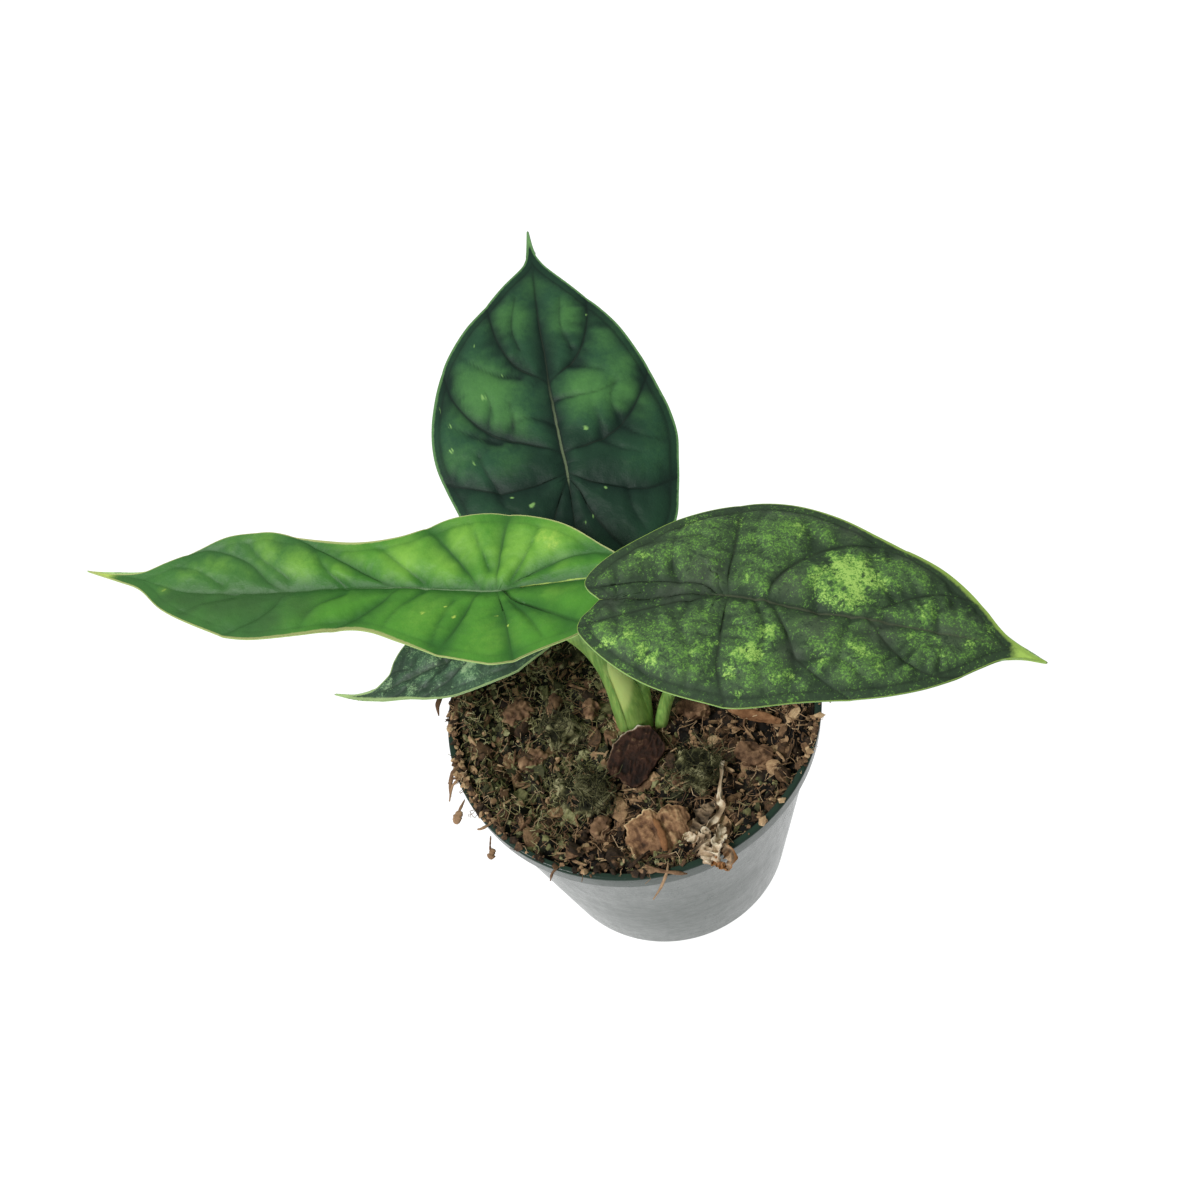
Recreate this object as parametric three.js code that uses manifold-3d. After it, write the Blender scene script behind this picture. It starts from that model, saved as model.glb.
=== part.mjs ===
// Potted dragon scale alocasia: four thick quilted shield leaves on fleshy stalks that rise from a
// buried corm, in a round nursery pot of bark mix. Millimetres, +Z up. The origin is the middle of
// the pot's flat base, and the plant leans out over the rim on -X, +Y and +X.

import * as THREE from 'three';
import { mergeVertices } from 'three/addons/utils/BufferGeometryUtils.js';
import Module from 'manifold-3d';

const wasm = await Module();
wasm.setup();

// Clearance between pieces that touch on the real plant
const GAP = 0.3;

// Pot
const POT_HEIGHT = 88;
const POT_RIM_RADIUS = 53;
const POT_BASE_RADIUS = 37;
const POT_WALL = 1.2;
const POT_FLOOR = 1.6;
const POT_SIDES = 48;
const RIM_BAND_HEIGHT = 7;
const RIM_BAND_STEP = 1.6;
const LIP_WIDTH = 2;
const DRAIN_HOLES = 8;
const DRAIN_RADIUS = 3.6;
const DRAIN_CIRCLE_RADIUS = 28;
const DRAIN_SIDES = 12;

// Bark mix
const SOIL_LEVEL = 80;
const SOIL_RINGS = 11;
const SOIL_SHOULDER = 7;
const SOIL_EDGE_DROP = 1.8;
const SOIL_EDGE_BAND = 7;

// Corm, under the soil
const CORM_TOP = 65.7;
const CORM_HEIGHT = 17;
const CORM_RADIUS = 10.5;
const CORM_TOP_RADIUS = 9.6;
const CORM_SIDES = 16;
const CORM_MIDDLE = new THREE.Vector2(0.5, -0.5);

// Opening in the mix between the stalks' feet
const HEART_RADIUS = 4.2;
const HEART_RISE = 6;
const HEART_SIDES = 16;
const HEART_MIDDLE = new THREE.Vector2(2.2, -2.6);

// Blades
const BLADE_THICKNESS = 1;
const BLADE_EDGE_THICKNESS = 0.7;
const EDGE_TAPER = 4;
const QUILT_HEIGHT = 1.4;
const VEIN_HALF_WIDTH = 2.6;
const MIDRIB_HALF_WIDTH = 2.8;
const VEIN_DEPTH = 0.85;
const BORDER_VEIN_INSET = 2.4;
const BORDER_VEIN_HALF_WIDTH = 1.2;
const BORDER_VEIN_DEPTH = 0.6;
const CREASE_ROUNDING = 1.5;

// Stalks
const STALK_TURN = 16;
const STALK_STATIONS = 12;

// Each blade is drawn flat, in millimetres forward of the stalk's joint and to its left, then bent:
// heading and pitch aim the tip, arch bends it down along its length, fold raises both sides from
// the midrib, and curl turns the margins down. A margin runs from the notch behind the joint round
// its basal lobe to the tip. Each rib crosses from its foot on the midrib out to both margins, and
// steps are the rows of facets from the notch to the first rib, between ribs, and on to the tip.
const BLADES = {
  right: {
    joint: [28.2, -22.7, 163],
    heading: -28.2,
    pitch: -4,
    arch: 12,
    fold: 0.1,
    curl: 0.0055,
    columns: 7,
    steps: [3, 8, 4, 6, 10],
    midrib: [[-29.2, -6.3], [-18, -4.2], [-8, -1.2], [0, 0], [9, 0.2], [18, -0.3], [34, 0.4], [50, 0.4],
      [62, 1.2], [68, 1.5], [75.5, 0]],
    left: [[-29.2, -6.3], [-32.4, -4.5], [-33.8, -1.6], [-30, 5.2], [-22, 13.6], [-15.5, 19.4], [-6.5, 24.6],
      [2.6, 28.1], [12.4, 29.3], [22.4, 27.8], [32.7, 24.1], [43, 20.5], [50.5, 17], [58.3, 11.3],
      [63.7, 5.7], [69, 2.3], [75.5, 0]],
    right: [[-29.2, -6.3], [-30.5, -9.7], [-32.2, -13], [-31.6, -16.6], [-25, -21.7], [-17, -25.5],
      [-9.5, -27.4], [0, -28.2], [9.5, -28], [22.5, -24], [31, -21.5], [40, -18.7], [48, -15], [54.5, -10.8],
      [60.6, -5.9], [65, -2.5], [69.4, -0.7], [75.5, 0]],
    ribs: [
      { foot: -1.5, left: [[-6.5, 1.6], [-18, 0.2], [-25, -1.8], [-32.7, -3.9]],
        right: [[-5.5, -2.4], [-12, -4.9], [-25, -11.5], [-32.2, -14.8]] },
      { foot: 0.2, left: [[-0.3, 5], [-0.4, 12], [-1.2, 20.5], [-1.5, 26.6]],
        right: [[0.9, -5], [1.5, -13], [2.3, -20], [5.6, -28.2]] },
      { foot: 9.2, left: [[10.8, 5.9], [16.5, 13.5], [26, 19.6], [39, 22]],
        right: [[12.5, -2.5], [16, -7.5], [20.7, -14.7], [33, -20.8]] },
      { foot: 34, left: [[36, 3.4], [44.5, 9.3], [54.5, 11.6], [59.5, 10.2]],
        right: [[37.3, -4], [45, -9.3], [51, -10.6], [57, -9]] },
    ],
  },
  left: {
    joint: [-24.8, 5.7, 150],
    heading: 155.4,
    pitch: -9,
    arch: -10,
    fold: 0.22,
    curl: 0.001,
    columns: 6,
    steps: [3, 5, 3, 6, 8, 11],
    midrib: [[-27, -3.2], [-18, -2.8], [-8, -1.6], [0, -0.3], [13, -0.8], [27, -1.2], [44, -0.6], [55, 0.9],
      [66, 2.4], [78, 3.6], [89, 3.7], [102, 1], [110, 0.5], [118, 0]],
    left: [[-27, -3.2], [-31.5, -1.8], [-34.8, 2.5], [-33, 9.5], [-26.7, 15.6], [-18, 20.3], [-8.5, 24],
      [-3, 23.8], [8.5, 21.4], [21, 17.5], [30.5, 14.4], [39, 13.8], [49.5, 16.3], [60, 18.1], [66, 18.3],
      [72, 17.3], [82, 14.4], [92.3, 10.2], [100.5, 4.5], [107.5, 2.4], [118, 0]],
    right: [[-27, -3.2], [-31, -4], [-33.6, -6], [-31.8, -9.4], [-26.5, -12.4], [-17.6, -17.2], [-9, -19.7],
      [2.7, -21.2], [14, -20.3], [22, -18], [30, -14.8], [41, -13.1], [53, -13.5], [65, -14.7], [71, -14.2],
      [79.5, -12.6], [87.5, -8.6], [97.5, -3], [103, -0.7], [111, 0.2], [118, 0]],
    ribs: [
      { foot: -1.8, left: [[-6, 3.2], [-14, 6.6], [-24, 10.5], [-31, 12]],
        right: [[-8.4, -4.6], [-16, -8.2], [-24, -10], [-31.8, -9.3]] },
      { foot: 0, left: [[-4.7, 7.6], [-8.7, 15.9], [-12, 22.8]],
        right: [[0.3, -7.4], [0.3, -13], [0.2, -21]] },
      { foot: 3.5, left: [[5.5, 5.8], [7, 13], [9.5, 21.2]],
        right: [[8.3, -4.8], [15.5, -11.5], [22.6, -17.8]] },
      { foot: 26.5, left: [[30, 3.7], [34.5, 9], [41, 14.1]],
        right: [[33.4, -2.9], [45, -7.8], [61, -14.4]] },
      { foot: 58.5, left: [[60.8, 7.5], [65, 12.6], [71.5, 17.4]],
        right: [[64.7, -1], [72, -6], [82.7, -8.8], [90, -7.2]] },
    ],
  },
  back: {
    joint: [0.9, 45.3, 140],
    heading: 83.9,
    pitch: 12,
    arch: 10,
    fold: 0.08,
    curl: 0.004,
    columns: 7,
    steps: [3, 7, 5, 6, 11],
    midrib: [[-20, 0.5], [-10, 0.2], [0, 0], [6, 0.4], [16, 0.7], [26, 1], [37, 0.8], [46, 1], [60, 0.6],
      [70, 0.2], [81.5, 0]],
    left: [[-20, 0.5], [-26, 2.8], [-30, 7], [-30.5, 13], [-27.5, 19.5], [-20, 25.8], [-12, 29.2],
      [-4.5, 31.7], [2.3, 33.8], [9, 35.4], [15.5, 35.8], [22, 35.2], [28, 33.9], [34, 32.1], [40, 29.6],
      [45.5, 26], [51, 21.5], [55, 17.2], [62, 9.9], [67.4, 3.8], [70, 2.1], [73, 1.2], [81.5, 0]],
    right: [[-20, 0.5], [-26, -2.6], [-30.5, -8], [-31.5, -14], [-29, -20.5], [-20.5, -26.4], [-12, -28.6],
      [-3, -30.2], [4.5, -31.2], [12.5, -30.4], [19, -28.8], [25.5, -27.1], [31, -25.3], [41, -21.2],
      [48.5, -16.7], [55, -11.9], [65, -4.6], [69.5, -2.1], [74, -0.7], [81.5, 0]],
    ribs: [
      { foot: -3.4, left: [[-8.4, 3.2], [-14, 5.6], [-22, 9], [-30.4, 12]],
        right: [[-7.3, -2.6], [-13.5, -4.6], [-22, -9], [-31.2, -15.5]] },
      { foot: -2, left: [[-2.7, 5.1], [-3.7, 16], [-2, 22], [4, 34.2]],
        right: [[-5, -5.6], [-8.3, -13.3], [-10.3, -21], [-8, -29.3]] },
      { foot: 4.6, left: [[8, 6.2], [15.2, 19.3], [26.8, 27.5], [38.5, 30.2]],
        right: [[6, -7.5], [8.5, -14.8], [15.4, -21.3], [26, -26.9]] },
      { foot: 26.5, left: [[29.2, 3.2], [35, 9.6], [45, 13.6], [57, 15.1]],
        right: [[29.5, -2.6], [35, -8.8], [44, -12.3], [53, -13.4]] },
    ],
  },
  low: {
    joint: [-27.9, 18.5, 113],
    heading: 174,
    pitch: -12,
    arch: 15,
    fold: 0.08,
    curl: 0.004,
    columns: 5,
    steps: [2, 5, 4, 5, 7],
    midrib: [[-11, 0.3], [0, 0], [11, 2.1], [20, 3.5], [30, 4.6], [38, 5.2], [46, 4.2], [54.6, -0.2]],
    left: [[-11, 0.3], [-15.5, 2.5], [-16.5, 6], [-12, 9.8], [-3, 13.6], [3, 14.8], [12, 15.4], [19.6, 14.7],
      [33.4, 10], [40, 7.8], [46.4, 5.1], [54.6, -0.2]],
    right: [[-11, 0.3], [-16, -3], [-18, -7.5], [-15, -12.5], [-8, -16.5], [2, -18], [12, -16.5],
      [22, -12.5], [30.5, -6.2], [34, -2.7], [36.3, 0.8], [39.6, 3.2], [43, 3.9], [48, 2.8], [54.6, -0.2]],
    ribs: [
      { foot: -1.5, left: [[-6, 3.4], [-11, 6], [-16.2, 6.8]], right: [[-6, -3.5], [-12, -7], [-17.6, -9]] },
      { foot: 0, left: [[-0.6, 5], [-1.5, 10], [-2.5, 13.8]], right: [[-0.4, -6], [-1, -12], [-1, -17.7]] },
      { foot: 8, left: [[12, 6], [18, 10], [26, 12.5]], right: [[12, -4], [18, -9], [26, -9.8]] },
      { foot: 26, left: [[29, 6.2], [34, 8.4], [40, 7.8]], right: [[29, 2.6], [33, 0.8], [36.3, 0.8]] },
    ],
  },
};

// Each stalk follows a curve from the corm to just under its blade's joint. Radii are spaced evenly
// along it. The sheath, where a stalk has one, is an open trough round its neighbour's foot.
const STALKS = {
  left: {
    path: [[-0.6, -1.9, 66], [-0.6, -1.9, 80], [-0.9, -1.6, 90], [-1.5, -0.9, 100], [-3.5, 0.6, 112],
      [-7.8, 2.2, 124], [-15.4, 3.7, 136], [-21.9, 5, 145]],
    radii: [5.1, 5.1, 4.8, 3.9, 2.9, 2.4, 2.1, 2],
    sheath: { wall: 1, closedAt: 0.6, opening: -20, spread: 84 },
  },
  back: {
    path: [[1.2, -2, 66], [1.5, -2.1, 80], [2.3, -1.2, 88], [3.4, 1.8, 96], [4.4, 7.5, 106], [4.4, 15, 115],
      [3.6, 26, 125], [1.9, 37, 134]],
    radii: [2.7, 3.3, 3.1, 2.6, 2.3, 2.1, 2],
  },
  right: {
    path: [[5.7, -4.9, 66], [6.2, -5.2, 80], [7.6, -4.9, 86], [9.4, -4.7, 92], [14, -8, 110],
      [20, -14.5, 133], [25.4, -20.3, 154]],
    radii: [1.6, 1.9, 1.8, 1.7, 1.6],
  },
  low: {
    path: [[-2.6, 6, 66], [-2.2, 6.4, 80], [-0.4, 8.5, 90], [-1.8, 11.3, 100], [-7.5, 14, 107.8],
      [-17.6, 16.4, 110.7]],
    radii: [1.6, 1.6, 1.5, 1.4, 1.3],
  },
};

// Loose bark on the soil: corners round its outline, plan size and thickness, place of the middle, and
// turn about X, Y and Z. Its skin runs through rings, each a scale and a level of the thickness, and
// no corner stands out further than the scatter lets it.
const BARK_RINGS = [[0.76, -0.5], [1, -0.1], [0.76, 0.5]];
const BARK_REACH = 0.86;
const BARK_SCATTER = 0.22;
const BARK_TOP_SCATTER = 0.1;
const BARK_SEAT_GROWTH = 0.1;
const BARK = {
  bark_disc: { sides: 14, size: [16, 14, 4.6], at: [-4.9, -13.7, 82.3], turn: [20, -8, 50], seed: 3 },
  bark_flake: { sides: 14, size: [19, 16, 2.6], at: [-3.4, -36.6, 81.6], turn: [6, 5, 12], seed: 9 },
  bark_strip: { sides: 8, size: [17, 3.6, 2.2], at: [32.2, -11.4, 82.4], turn: [4, -8, -36], seed: 12 },
  bark_chip_1: { sides: 8, size: [10, 7.5, 5], at: [-32, 11.8, 80.9], turn: [8, 4, 10], seed: 21 },
  bark_chip_2: { sides: 8, size: [6.4, 5.6, 4], at: [-11.6, 5.6, 81.4], turn: [-6, 10, 60], seed: 22 },
  bark_chip_3: { sides: 8, size: [9, 4.6, 4], at: [-21.6, 10.5, 81], turn: [5, -9, 75], seed: 23 },
  bark_chip_4: { sides: 8, size: [9, 5.6, 3.6], at: [-31.5, -4.2, 81.2], turn: [-4, 6, 15], seed: 24 },
  bark_chip_5: { sides: 8, size: [11, 7.5, 4.6], at: [16.4, -3.2, 81.8], turn: [7, -5, -20], seed: 25 },
  bark_chip_6: { sides: 8, size: [12.5, 8, 4.6], at: [28.6, -22.6, 81.4], turn: [-6, 8, -28], seed: 26 },
  bark_chip_7: { sides: 8, size: [7.4, 6, 4], at: [-17.8, -30.6, 80.8], turn: [9, 3, 35], seed: 27 },
  bark_chip_8: { sides: 8, size: [13, 7, 4.6], at: [9.5, 28, 81], turn: [-5, 6, 14], seed: 28 },
  bark_chip_9: { sides: 8, size: [11, 8, 4.4], at: [31, 13, 81], turn: [6, -6, 70], seed: 29 },
};

// Cushions of moss: plan size and height, and place of the middle
const MOSS_RINGS = [[0.7, -0.4], [1, 0], [0.86, 0.36], [0.55, 0.54], [0.24, 0.6]];
const MOSS_REACH = 0.85;
const MOSS_SCATTER = 0.25;
const MOSS_TOP_SCATTER = 0.12;
const MOSS_SIDES = 10;
const MOSS = {
  moss_left: { size: [15, 13, 6], at: [-19.8, -19.2, 80.4], seed: 41 },
  moss_far_left: { size: [11, 9, 5], at: [-21.6, 0.8, 80.2], seed: 42 },
  moss_right: { size: [16, 13, 6.5], at: [12.4, -22, 80.6], seed: 43 },
  moss_back: { size: [17, 13, 5.6], at: [-13, 29, 80], seed: 44 },
};

// Withered leaf that lies on the soil and over the rim: middle of the sheet, half-width, and how
// far the sheet cups at that place
const DRY_LEAF = {
  thickness: 0.8,
  columns: 3,
  stations: [
    { at: [18.9, -29.4, 84], half: 1.3, cup: 0.5 },
    { at: [17, -31.6, 84.6], half: 1.9, cup: 0.9 },
    { at: [15.5, -34.6, 84.1], half: 1.6, cup: 0.8 },
    { at: [12.8, -37.6, 84], half: 2.8, cup: 1 },
    { at: [10.8, -41, 84.6], half: 4.6, cup: -0.8 },
    { at: [10.2, -44.8, 86.4], half: 4.2, cup: 1.2 },
    { at: [11, -48.4, 88.6], half: 4.6, cup: -0.7 },
    { at: [11.6, -51.6, 90], half: 3.2, cup: -0.6 },
    { at: [12, -54.6, 89.4], half: 2, cup: -0.4 },
    { at: [12.6, -56.4, 88], half: 0.9, cup: -0.2 },
  ],
};

const FINISHES = {
  pot: { color: '#3c4e42', roughness: 0.35, metalness: 0 },
  soil: { color: '#33241a', roughness: 0.95, metalness: 0 },
  corm: { color: '#6d4c33', roughness: 0.85, metalness: 0 },
  stalk: { color: '#4f8a3a', roughness: 0.45, metalness: 0 },
  blade_right: { color: '#4c6a43', roughness: 0.5, metalness: 0 },
  blade_left: { color: '#3f9a35', roughness: 0.45, metalness: 0 },
  blade_back: { color: '#1f4a36', roughness: 0.45, metalness: 0 },
  blade_low: { color: '#3b5a44', roughness: 0.5, metalness: 0 },
  bark: { color: '#5b3d2b', roughness: 0.9, metalness: 0 },
  moss: { color: '#56603a', roughness: 0.95, metalness: 0 },
  dry_leaf: { color: '#a08468', roughness: 0.85, metalness: 0 },
};

// Small tools

/** Seeded random numbers from 0 to 1. */
function randomSource(seed) {
  let state = seed * 7919 + 17;
  return () => {
    state = (state * 16807) % 2147483647;
    return state / 2147483647;
  };
}

/** Smooth rise from 0 at low to 1 at high. */
function ramp(value, low, high) {
  const t = THREE.MathUtils.clamp((value - low) / (high - low), 0, 1);
  return t * t * (3 - 2 * t);
}

/** Value at t, from 0 to 1, of a list of values spaced evenly. */
function evenly(values, t) {
  const place = THREE.MathUtils.clamp(t, 0, 1) * (values.length - 1);
  const index = Math.min(Math.floor(place), values.length - 2);
  return THREE.MathUtils.lerp(values[index], values[index + 1], place - index);
}

function vector(list) {
  return new THREE.Vector3(...list);
}

// Closed meshes

function indexedGeometry(positions, indices) {
  const geometry = new THREE.BufferGeometry();
  geometry.setAttribute('position', new THREE.Float32BufferAttribute(positions, 3));
  geometry.setIndex(indices);
  geometry.computeVertexNormals();
  return geometry;
}

/** Closed skin over a row of rings that turn left about the row's direction. Each ring holds an even
 *  number of points, and each end is closed by strips between the ring's two halves. */
function loft(rings) {
  const count = rings[0].length;
  const positions = rings.flat().flatMap((point) => [point.x, point.y, point.z]);
  const indices = [];
  for (let ring = 0; ring < rings.length - 1; ring += 1) {
    for (let i = 0; i < count; i += 1) {
      const a = ring * count + i;
      const b = ring * count + ((i + 1) % count);
      indices.push(a, b, b + count, a, b + count, a + count);
    }
  }
  const last = (rings.length - 1) * count;
  for (let i = 0; i < count / 2 - 1; i += 1) {
    const near = [i, i + 1];
    const far = [count - 1 - i, count - 2 - i];
    indices.push(near[0], far[1], near[1], near[0], far[0], far[1]);
    indices.push(last + near[0], last + near[1], last + far[1], last + near[0], last + far[1], last + far[0]);
  }
  return indexedGeometry(positions, indices);
}

function toSolid(geometry) {
  const bare = geometry.clone();
  bare.deleteAttribute('normal');
  bare.deleteAttribute('uv');
  const merged = mergeVertices(bare);
  return new wasm.Manifold(new wasm.Mesh({
    numProp: 3,
    vertProperties: new Float32Array(merged.attributes.position.array),
    triVerts: new Uint32Array(merged.index.array),
  }));
}

function toGeometry(solid) {
  const mesh = solid.getMesh();
  return indexedGeometry(Array.from(mesh.vertProperties), Array.from(mesh.triVerts));
}

/** A geometry turned by degrees about X, Y and Z and moved to its place. */
function placed(geometry, at, turn = [0, 0, 0]) {
  const angles = turn.map(THREE.MathUtils.degToRad);
  const matrix = new THREE.Matrix4().makeRotationFromEuler(new THREE.Euler(...angles));
  matrix.setPosition(vector(at));
  return geometry.applyMatrix4(matrix);
}

function lathe(profile, sides) {
  const geometry = new THREE.LatheGeometry(profile.map(([r, z]) => new THREE.Vector2(r, z)), sides);
  geometry.rotateX(Math.PI / 2);
  return geometry;
}

const plant = new THREE.Group();

function add(name, geometry, finish) {
  const mesh = new THREE.Mesh(geometry, new THREE.MeshStandardMaterial(FINISHES[finish]));
  mesh.name = name;
  plant.add(mesh);
}

// Pot

const BAND_BOTTOM = POT_HEIGHT - RIM_BAND_HEIGHT;
const WALL_TOP_RADIUS = POT_RIM_RADIUS - 0.5 - RIM_BAND_STEP;

/** Outer radius of the tapered wall at a height under the rim band. */
function wallRadius(z) {
  return THREE.MathUtils.mapLinear(z, 0, BAND_BOTTOM, POT_BASE_RADIUS, WALL_TOP_RADIUS);
}

function potGeometry() {
  const band = WALL_TOP_RADIUS + RIM_BAND_STEP;
  const inside = POT_RIM_RADIUS - LIP_WIDTH;
  const floorRadius = wallRadius(POT_FLOOR) - POT_WALL;
  const profile = [
    [0, 0], [POT_BASE_RADIUS - 2.6, 0], [POT_BASE_RADIUS - 0.7, 0.7], [wallRadius(2.6), 2.6],
    [wallRadius(BAND_BOTTOM / 2), BAND_BOTTOM / 2], [WALL_TOP_RADIUS, BAND_BOTTOM],
    [band, BAND_BOTTOM + 0.5], [band + 0.2, POT_HEIGHT - 1.6], [POT_RIM_RADIUS, POT_HEIGHT - 1.2],
    [POT_RIM_RADIUS, POT_HEIGHT - 0.4], [POT_RIM_RADIUS - 0.5, POT_HEIGHT],
    [inside + 0.3, POT_HEIGHT], [inside, POT_HEIGHT - 0.6], [inside - 0.5, BAND_BOTTOM + 0.6],
    [WALL_TOP_RADIUS - POT_WALL, BAND_BOTTOM - 0.8],
    [floorRadius, POT_FLOOR + 1.4], [floorRadius - 1.2, POT_FLOOR], [0, POT_FLOOR],
  ];
  let pot = toSolid(lathe(profile, POT_SIDES));
  for (let hole = 0; hole < DRAIN_HOLES; hole += 1) {
    const angle = (hole / DRAIN_HOLES) * 2 * Math.PI;
    const drill = new THREE.CylinderGeometry(DRAIN_RADIUS, DRAIN_RADIUS, POT_FLOOR * 4, DRAIN_SIDES);
    drill.rotateX(Math.PI / 2);
    drill.translate(DRAIN_CIRCLE_RADIUS * Math.cos(angle), DRAIN_CIRCLE_RADIUS * Math.sin(angle), 0);
    pot = pot.subtract(toSolid(drill));
  }
  return toGeometry(pot);
}

// Corm

function cormGeometry(clearance) {
  const bottom = CORM_TOP - CORM_HEIGHT - clearance;
  const profile = [
    [0, bottom], [CORM_RADIUS * 0.55 + clearance, bottom], [CORM_RADIUS * 0.9 + clearance, bottom + 3.5],
    [CORM_RADIUS + clearance, bottom + CORM_HEIGHT * 0.55], [CORM_TOP_RADIUS + clearance, CORM_TOP - 1],
    [CORM_TOP_RADIUS + clearance - 0.8, CORM_TOP + clearance], [0, CORM_TOP + clearance],
  ];
  return lathe(profile, CORM_SIDES).translate(CORM_MIDDLE.x, CORM_MIDDLE.y, 0);
}

// Stalks

/** One ring of a plain round stalk in its own plane. */
function roundSection(radius, count) {
  return Array.from({ length: count }, (unused, i) => {
    const angle = ((i + 0.5) / count) * 2 * Math.PI;
    return [radius * Math.cos(angle), radius * Math.sin(angle)];
  });
}

/** One ring of a sheathing stalk: an open trough where trough is 1, and a full round where it is 0. */
function sheathSection(radius, sheath, trough, clearance, count) {
  const half = count / 2;
  const middle = THREE.MathUtils.degToRad(sheath.opening + 180);
  const fullSpread = Math.PI / 2 - Math.PI / count;
  const openSpread = THREE.MathUtils.degToRad(sheath.spread) + clearance / radius;
  const spread = THREE.MathUtils.lerp(fullSpread, openSpread, trough);
  const hollow = radius - sheath.wall - 2 * clearance;
  const outer = [];
  const inner = [];
  for (let i = 0; i < half; i += 1) {
    const swing = spread * ((2 * i) / (half - 1) - 1);
    const angle = middle + swing;
    outer.push([radius * Math.cos(angle), radius * Math.sin(angle)]);
    const mirrored = middle + Math.PI - swing;
    inner.unshift([
      THREE.MathUtils.lerp(radius * Math.cos(mirrored), hollow * Math.cos(angle), trough),
      THREE.MathUtils.lerp(radius * Math.sin(mirrored), hollow * Math.sin(angle), trough),
    ]);
  }
  return [...outer, ...inner];
}

/** A stalk from the corm to its blade's joint, grown by a clearance where it cuts its own hole. */
function stalkGeometry(name, clearance) {
  const stalk = STALKS[name];
  const blade = bladeFrame(BLADES[name], 0);
  const under = BLADE_THICKNESS / 2 + GAP - clearance;
  const points = stalk.path.map(vector);
  points.push(blade.middle.clone().addScaledVector(blade.up, -under));
  const curve = new THREE.CatmullRomCurve3(points, false, 'centripetal');
  const count = stalk.sheath ? STALK_TURN : STALK_TURN - 6;
  const rings = [];
  for (let station = 0; station <= STALK_STATIONS; station += 1) {
    const t = station / STALK_STATIONS;
    const axis = curve.getTangent(t).lerp(blade.up, ramp(t, 0.85, 1)).normalize();
    const across = new THREE.Vector3(1, 0, 0).addScaledVector(axis, -axis.x).normalize();
    const beside = new THREE.Vector3().crossVectors(axis, across);
    const middle = curve.getPoint(t);
    const radius = evenly(stalk.radii, t) + clearance;
    const section = stalk.sheath
      ? sheathSection(radius, stalk.sheath, 1 - ramp(t, stalk.sheath.closedAt - 0.25, stalk.sheath.closedAt),
        clearance, count)
      : roundSection(radius, count);
    rings.push(section.map(([u, v]) => middle.clone().addScaledVector(across, u).addScaledVector(beside, v)));
  }
  rings[0].forEach((point) => {
    point.z -= clearance;
  });
  return loft(rings);
}

// Blades

/** Where the midrib is at a length from the joint, and the blade's own axes there. */
function bladeFrame(blade, length) {
  const heading = THREE.MathUtils.degToRad(blade.heading);
  const bend = THREE.MathUtils.degToRad(blade.arch) / 100;
  const start = THREE.MathUtils.degToRad(blade.pitch);
  const here = start - bend * length;
  const out = new THREE.Vector3(Math.cos(heading), Math.sin(heading), 0);
  const side = new THREE.Vector3(-Math.sin(heading), Math.cos(heading), 0);
  const reach = (Math.sin(start) - Math.sin(here)) / bend;
  const rise = (Math.cos(here) - Math.cos(start)) / bend;
  const middle = vector(blade.joint).addScaledVector(out, reach);
  middle.z += rise;
  const up = out.clone().multiplyScalar(-Math.sin(here));
  up.z += Math.cos(here);
  return { middle, side, up };
}

/** A smooth line through flat points, as many short steps with their running length. */
function smoothLine(points) {
  const knots = points.map(([s, x]) => new THREE.Vector3(s, x, 0));
  const curve = new THREE.CatmullRomCurve3(knots, false, 'catmullrom');
  const line = curve.getPoints((points.length - 1) * 8).map((point) => new THREE.Vector2(point.x, point.y));
  const lengths = [0];
  for (let i = 1; i < line.length; i += 1) {
    lengths.push(lengths[i - 1] + line[i].distanceTo(line[i - 1]));
  }
  return { line, lengths, total: lengths[lengths.length - 1] };
}

/** The point at a running length on a smooth line. */
function pointAt(smooth, length) {
  const wanted = THREE.MathUtils.clamp(length, 0, smooth.total);
  let i = 1;
  while (i < smooth.line.length - 1 && smooth.lengths[i] < wanted) {
    i += 1;
  }
  const step = smooth.lengths[i] - smooth.lengths[i - 1];
  return smooth.line[i - 1].clone().lerp(smooth.line[i], (wanted - smooth.lengths[i - 1]) / step);
}

/** The running length of the place on a smooth line that is nearest to a point. */
function lengthNear(smooth, point) {
  let best = 0;
  smooth.line.forEach((candidate, i) => {
    if (candidate.distanceTo(point) < smooth.line[best].distanceTo(point)) {
      best = i;
    }
  });
  return smooth.lengths[best];
}

/** Distance from a flat point to a smooth line. */
function distanceTo(smooth, point) {
  let least = Infinity;
  for (let i = 1; i < smooth.line.length; i += 1) {
    const start = smooth.line[i - 1];
    const along = smooth.line[i].clone().sub(start);
    const t = THREE.MathUtils.clamp(point.clone().sub(start).dot(along) / along.lengthSq(), 0, 1);
    least = Math.min(least, point.distanceTo(start.clone().addScaledVector(along, t)));
  }
  return least;
}

/** The running length where a midrib passes a forward distance. */
function lengthAtForward(midrib, forward) {
  const index = midrib.line.findIndex((point) => point.x >= forward);
  return midrib.lengths[index];
}

/** A blade's flat plan: midrib, both margins, and the ribs with their feet and ends. */
function bladePlan(blade) {
  const midrib = smoothLine(blade.midrib);
  const sides = { left: smoothLine(blade.left), right: smoothLine(blade.right) };
  const ribs = blade.ribs.map((rib) => {
    const footLength = lengthAtForward(midrib, rib.foot);
    const foot = pointAt(midrib, footLength);
    const entry = { footLength };
    for (const side of ['left', 'right']) {
      const path = rib[side].map(([s, x]) => new THREE.Vector2(s, x));
      const endLength = lengthNear(sides[side], path[path.length - 1]);
      path[path.length - 1] = pointAt(sides[side], endLength);
      const line = smoothLine([foot, ...path].map((point) => [point.x, point.y]));
      entry[side] = { line, endLength };
    }
    return entry;
  });
  return { midrib, sides, ribs };
}

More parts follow.
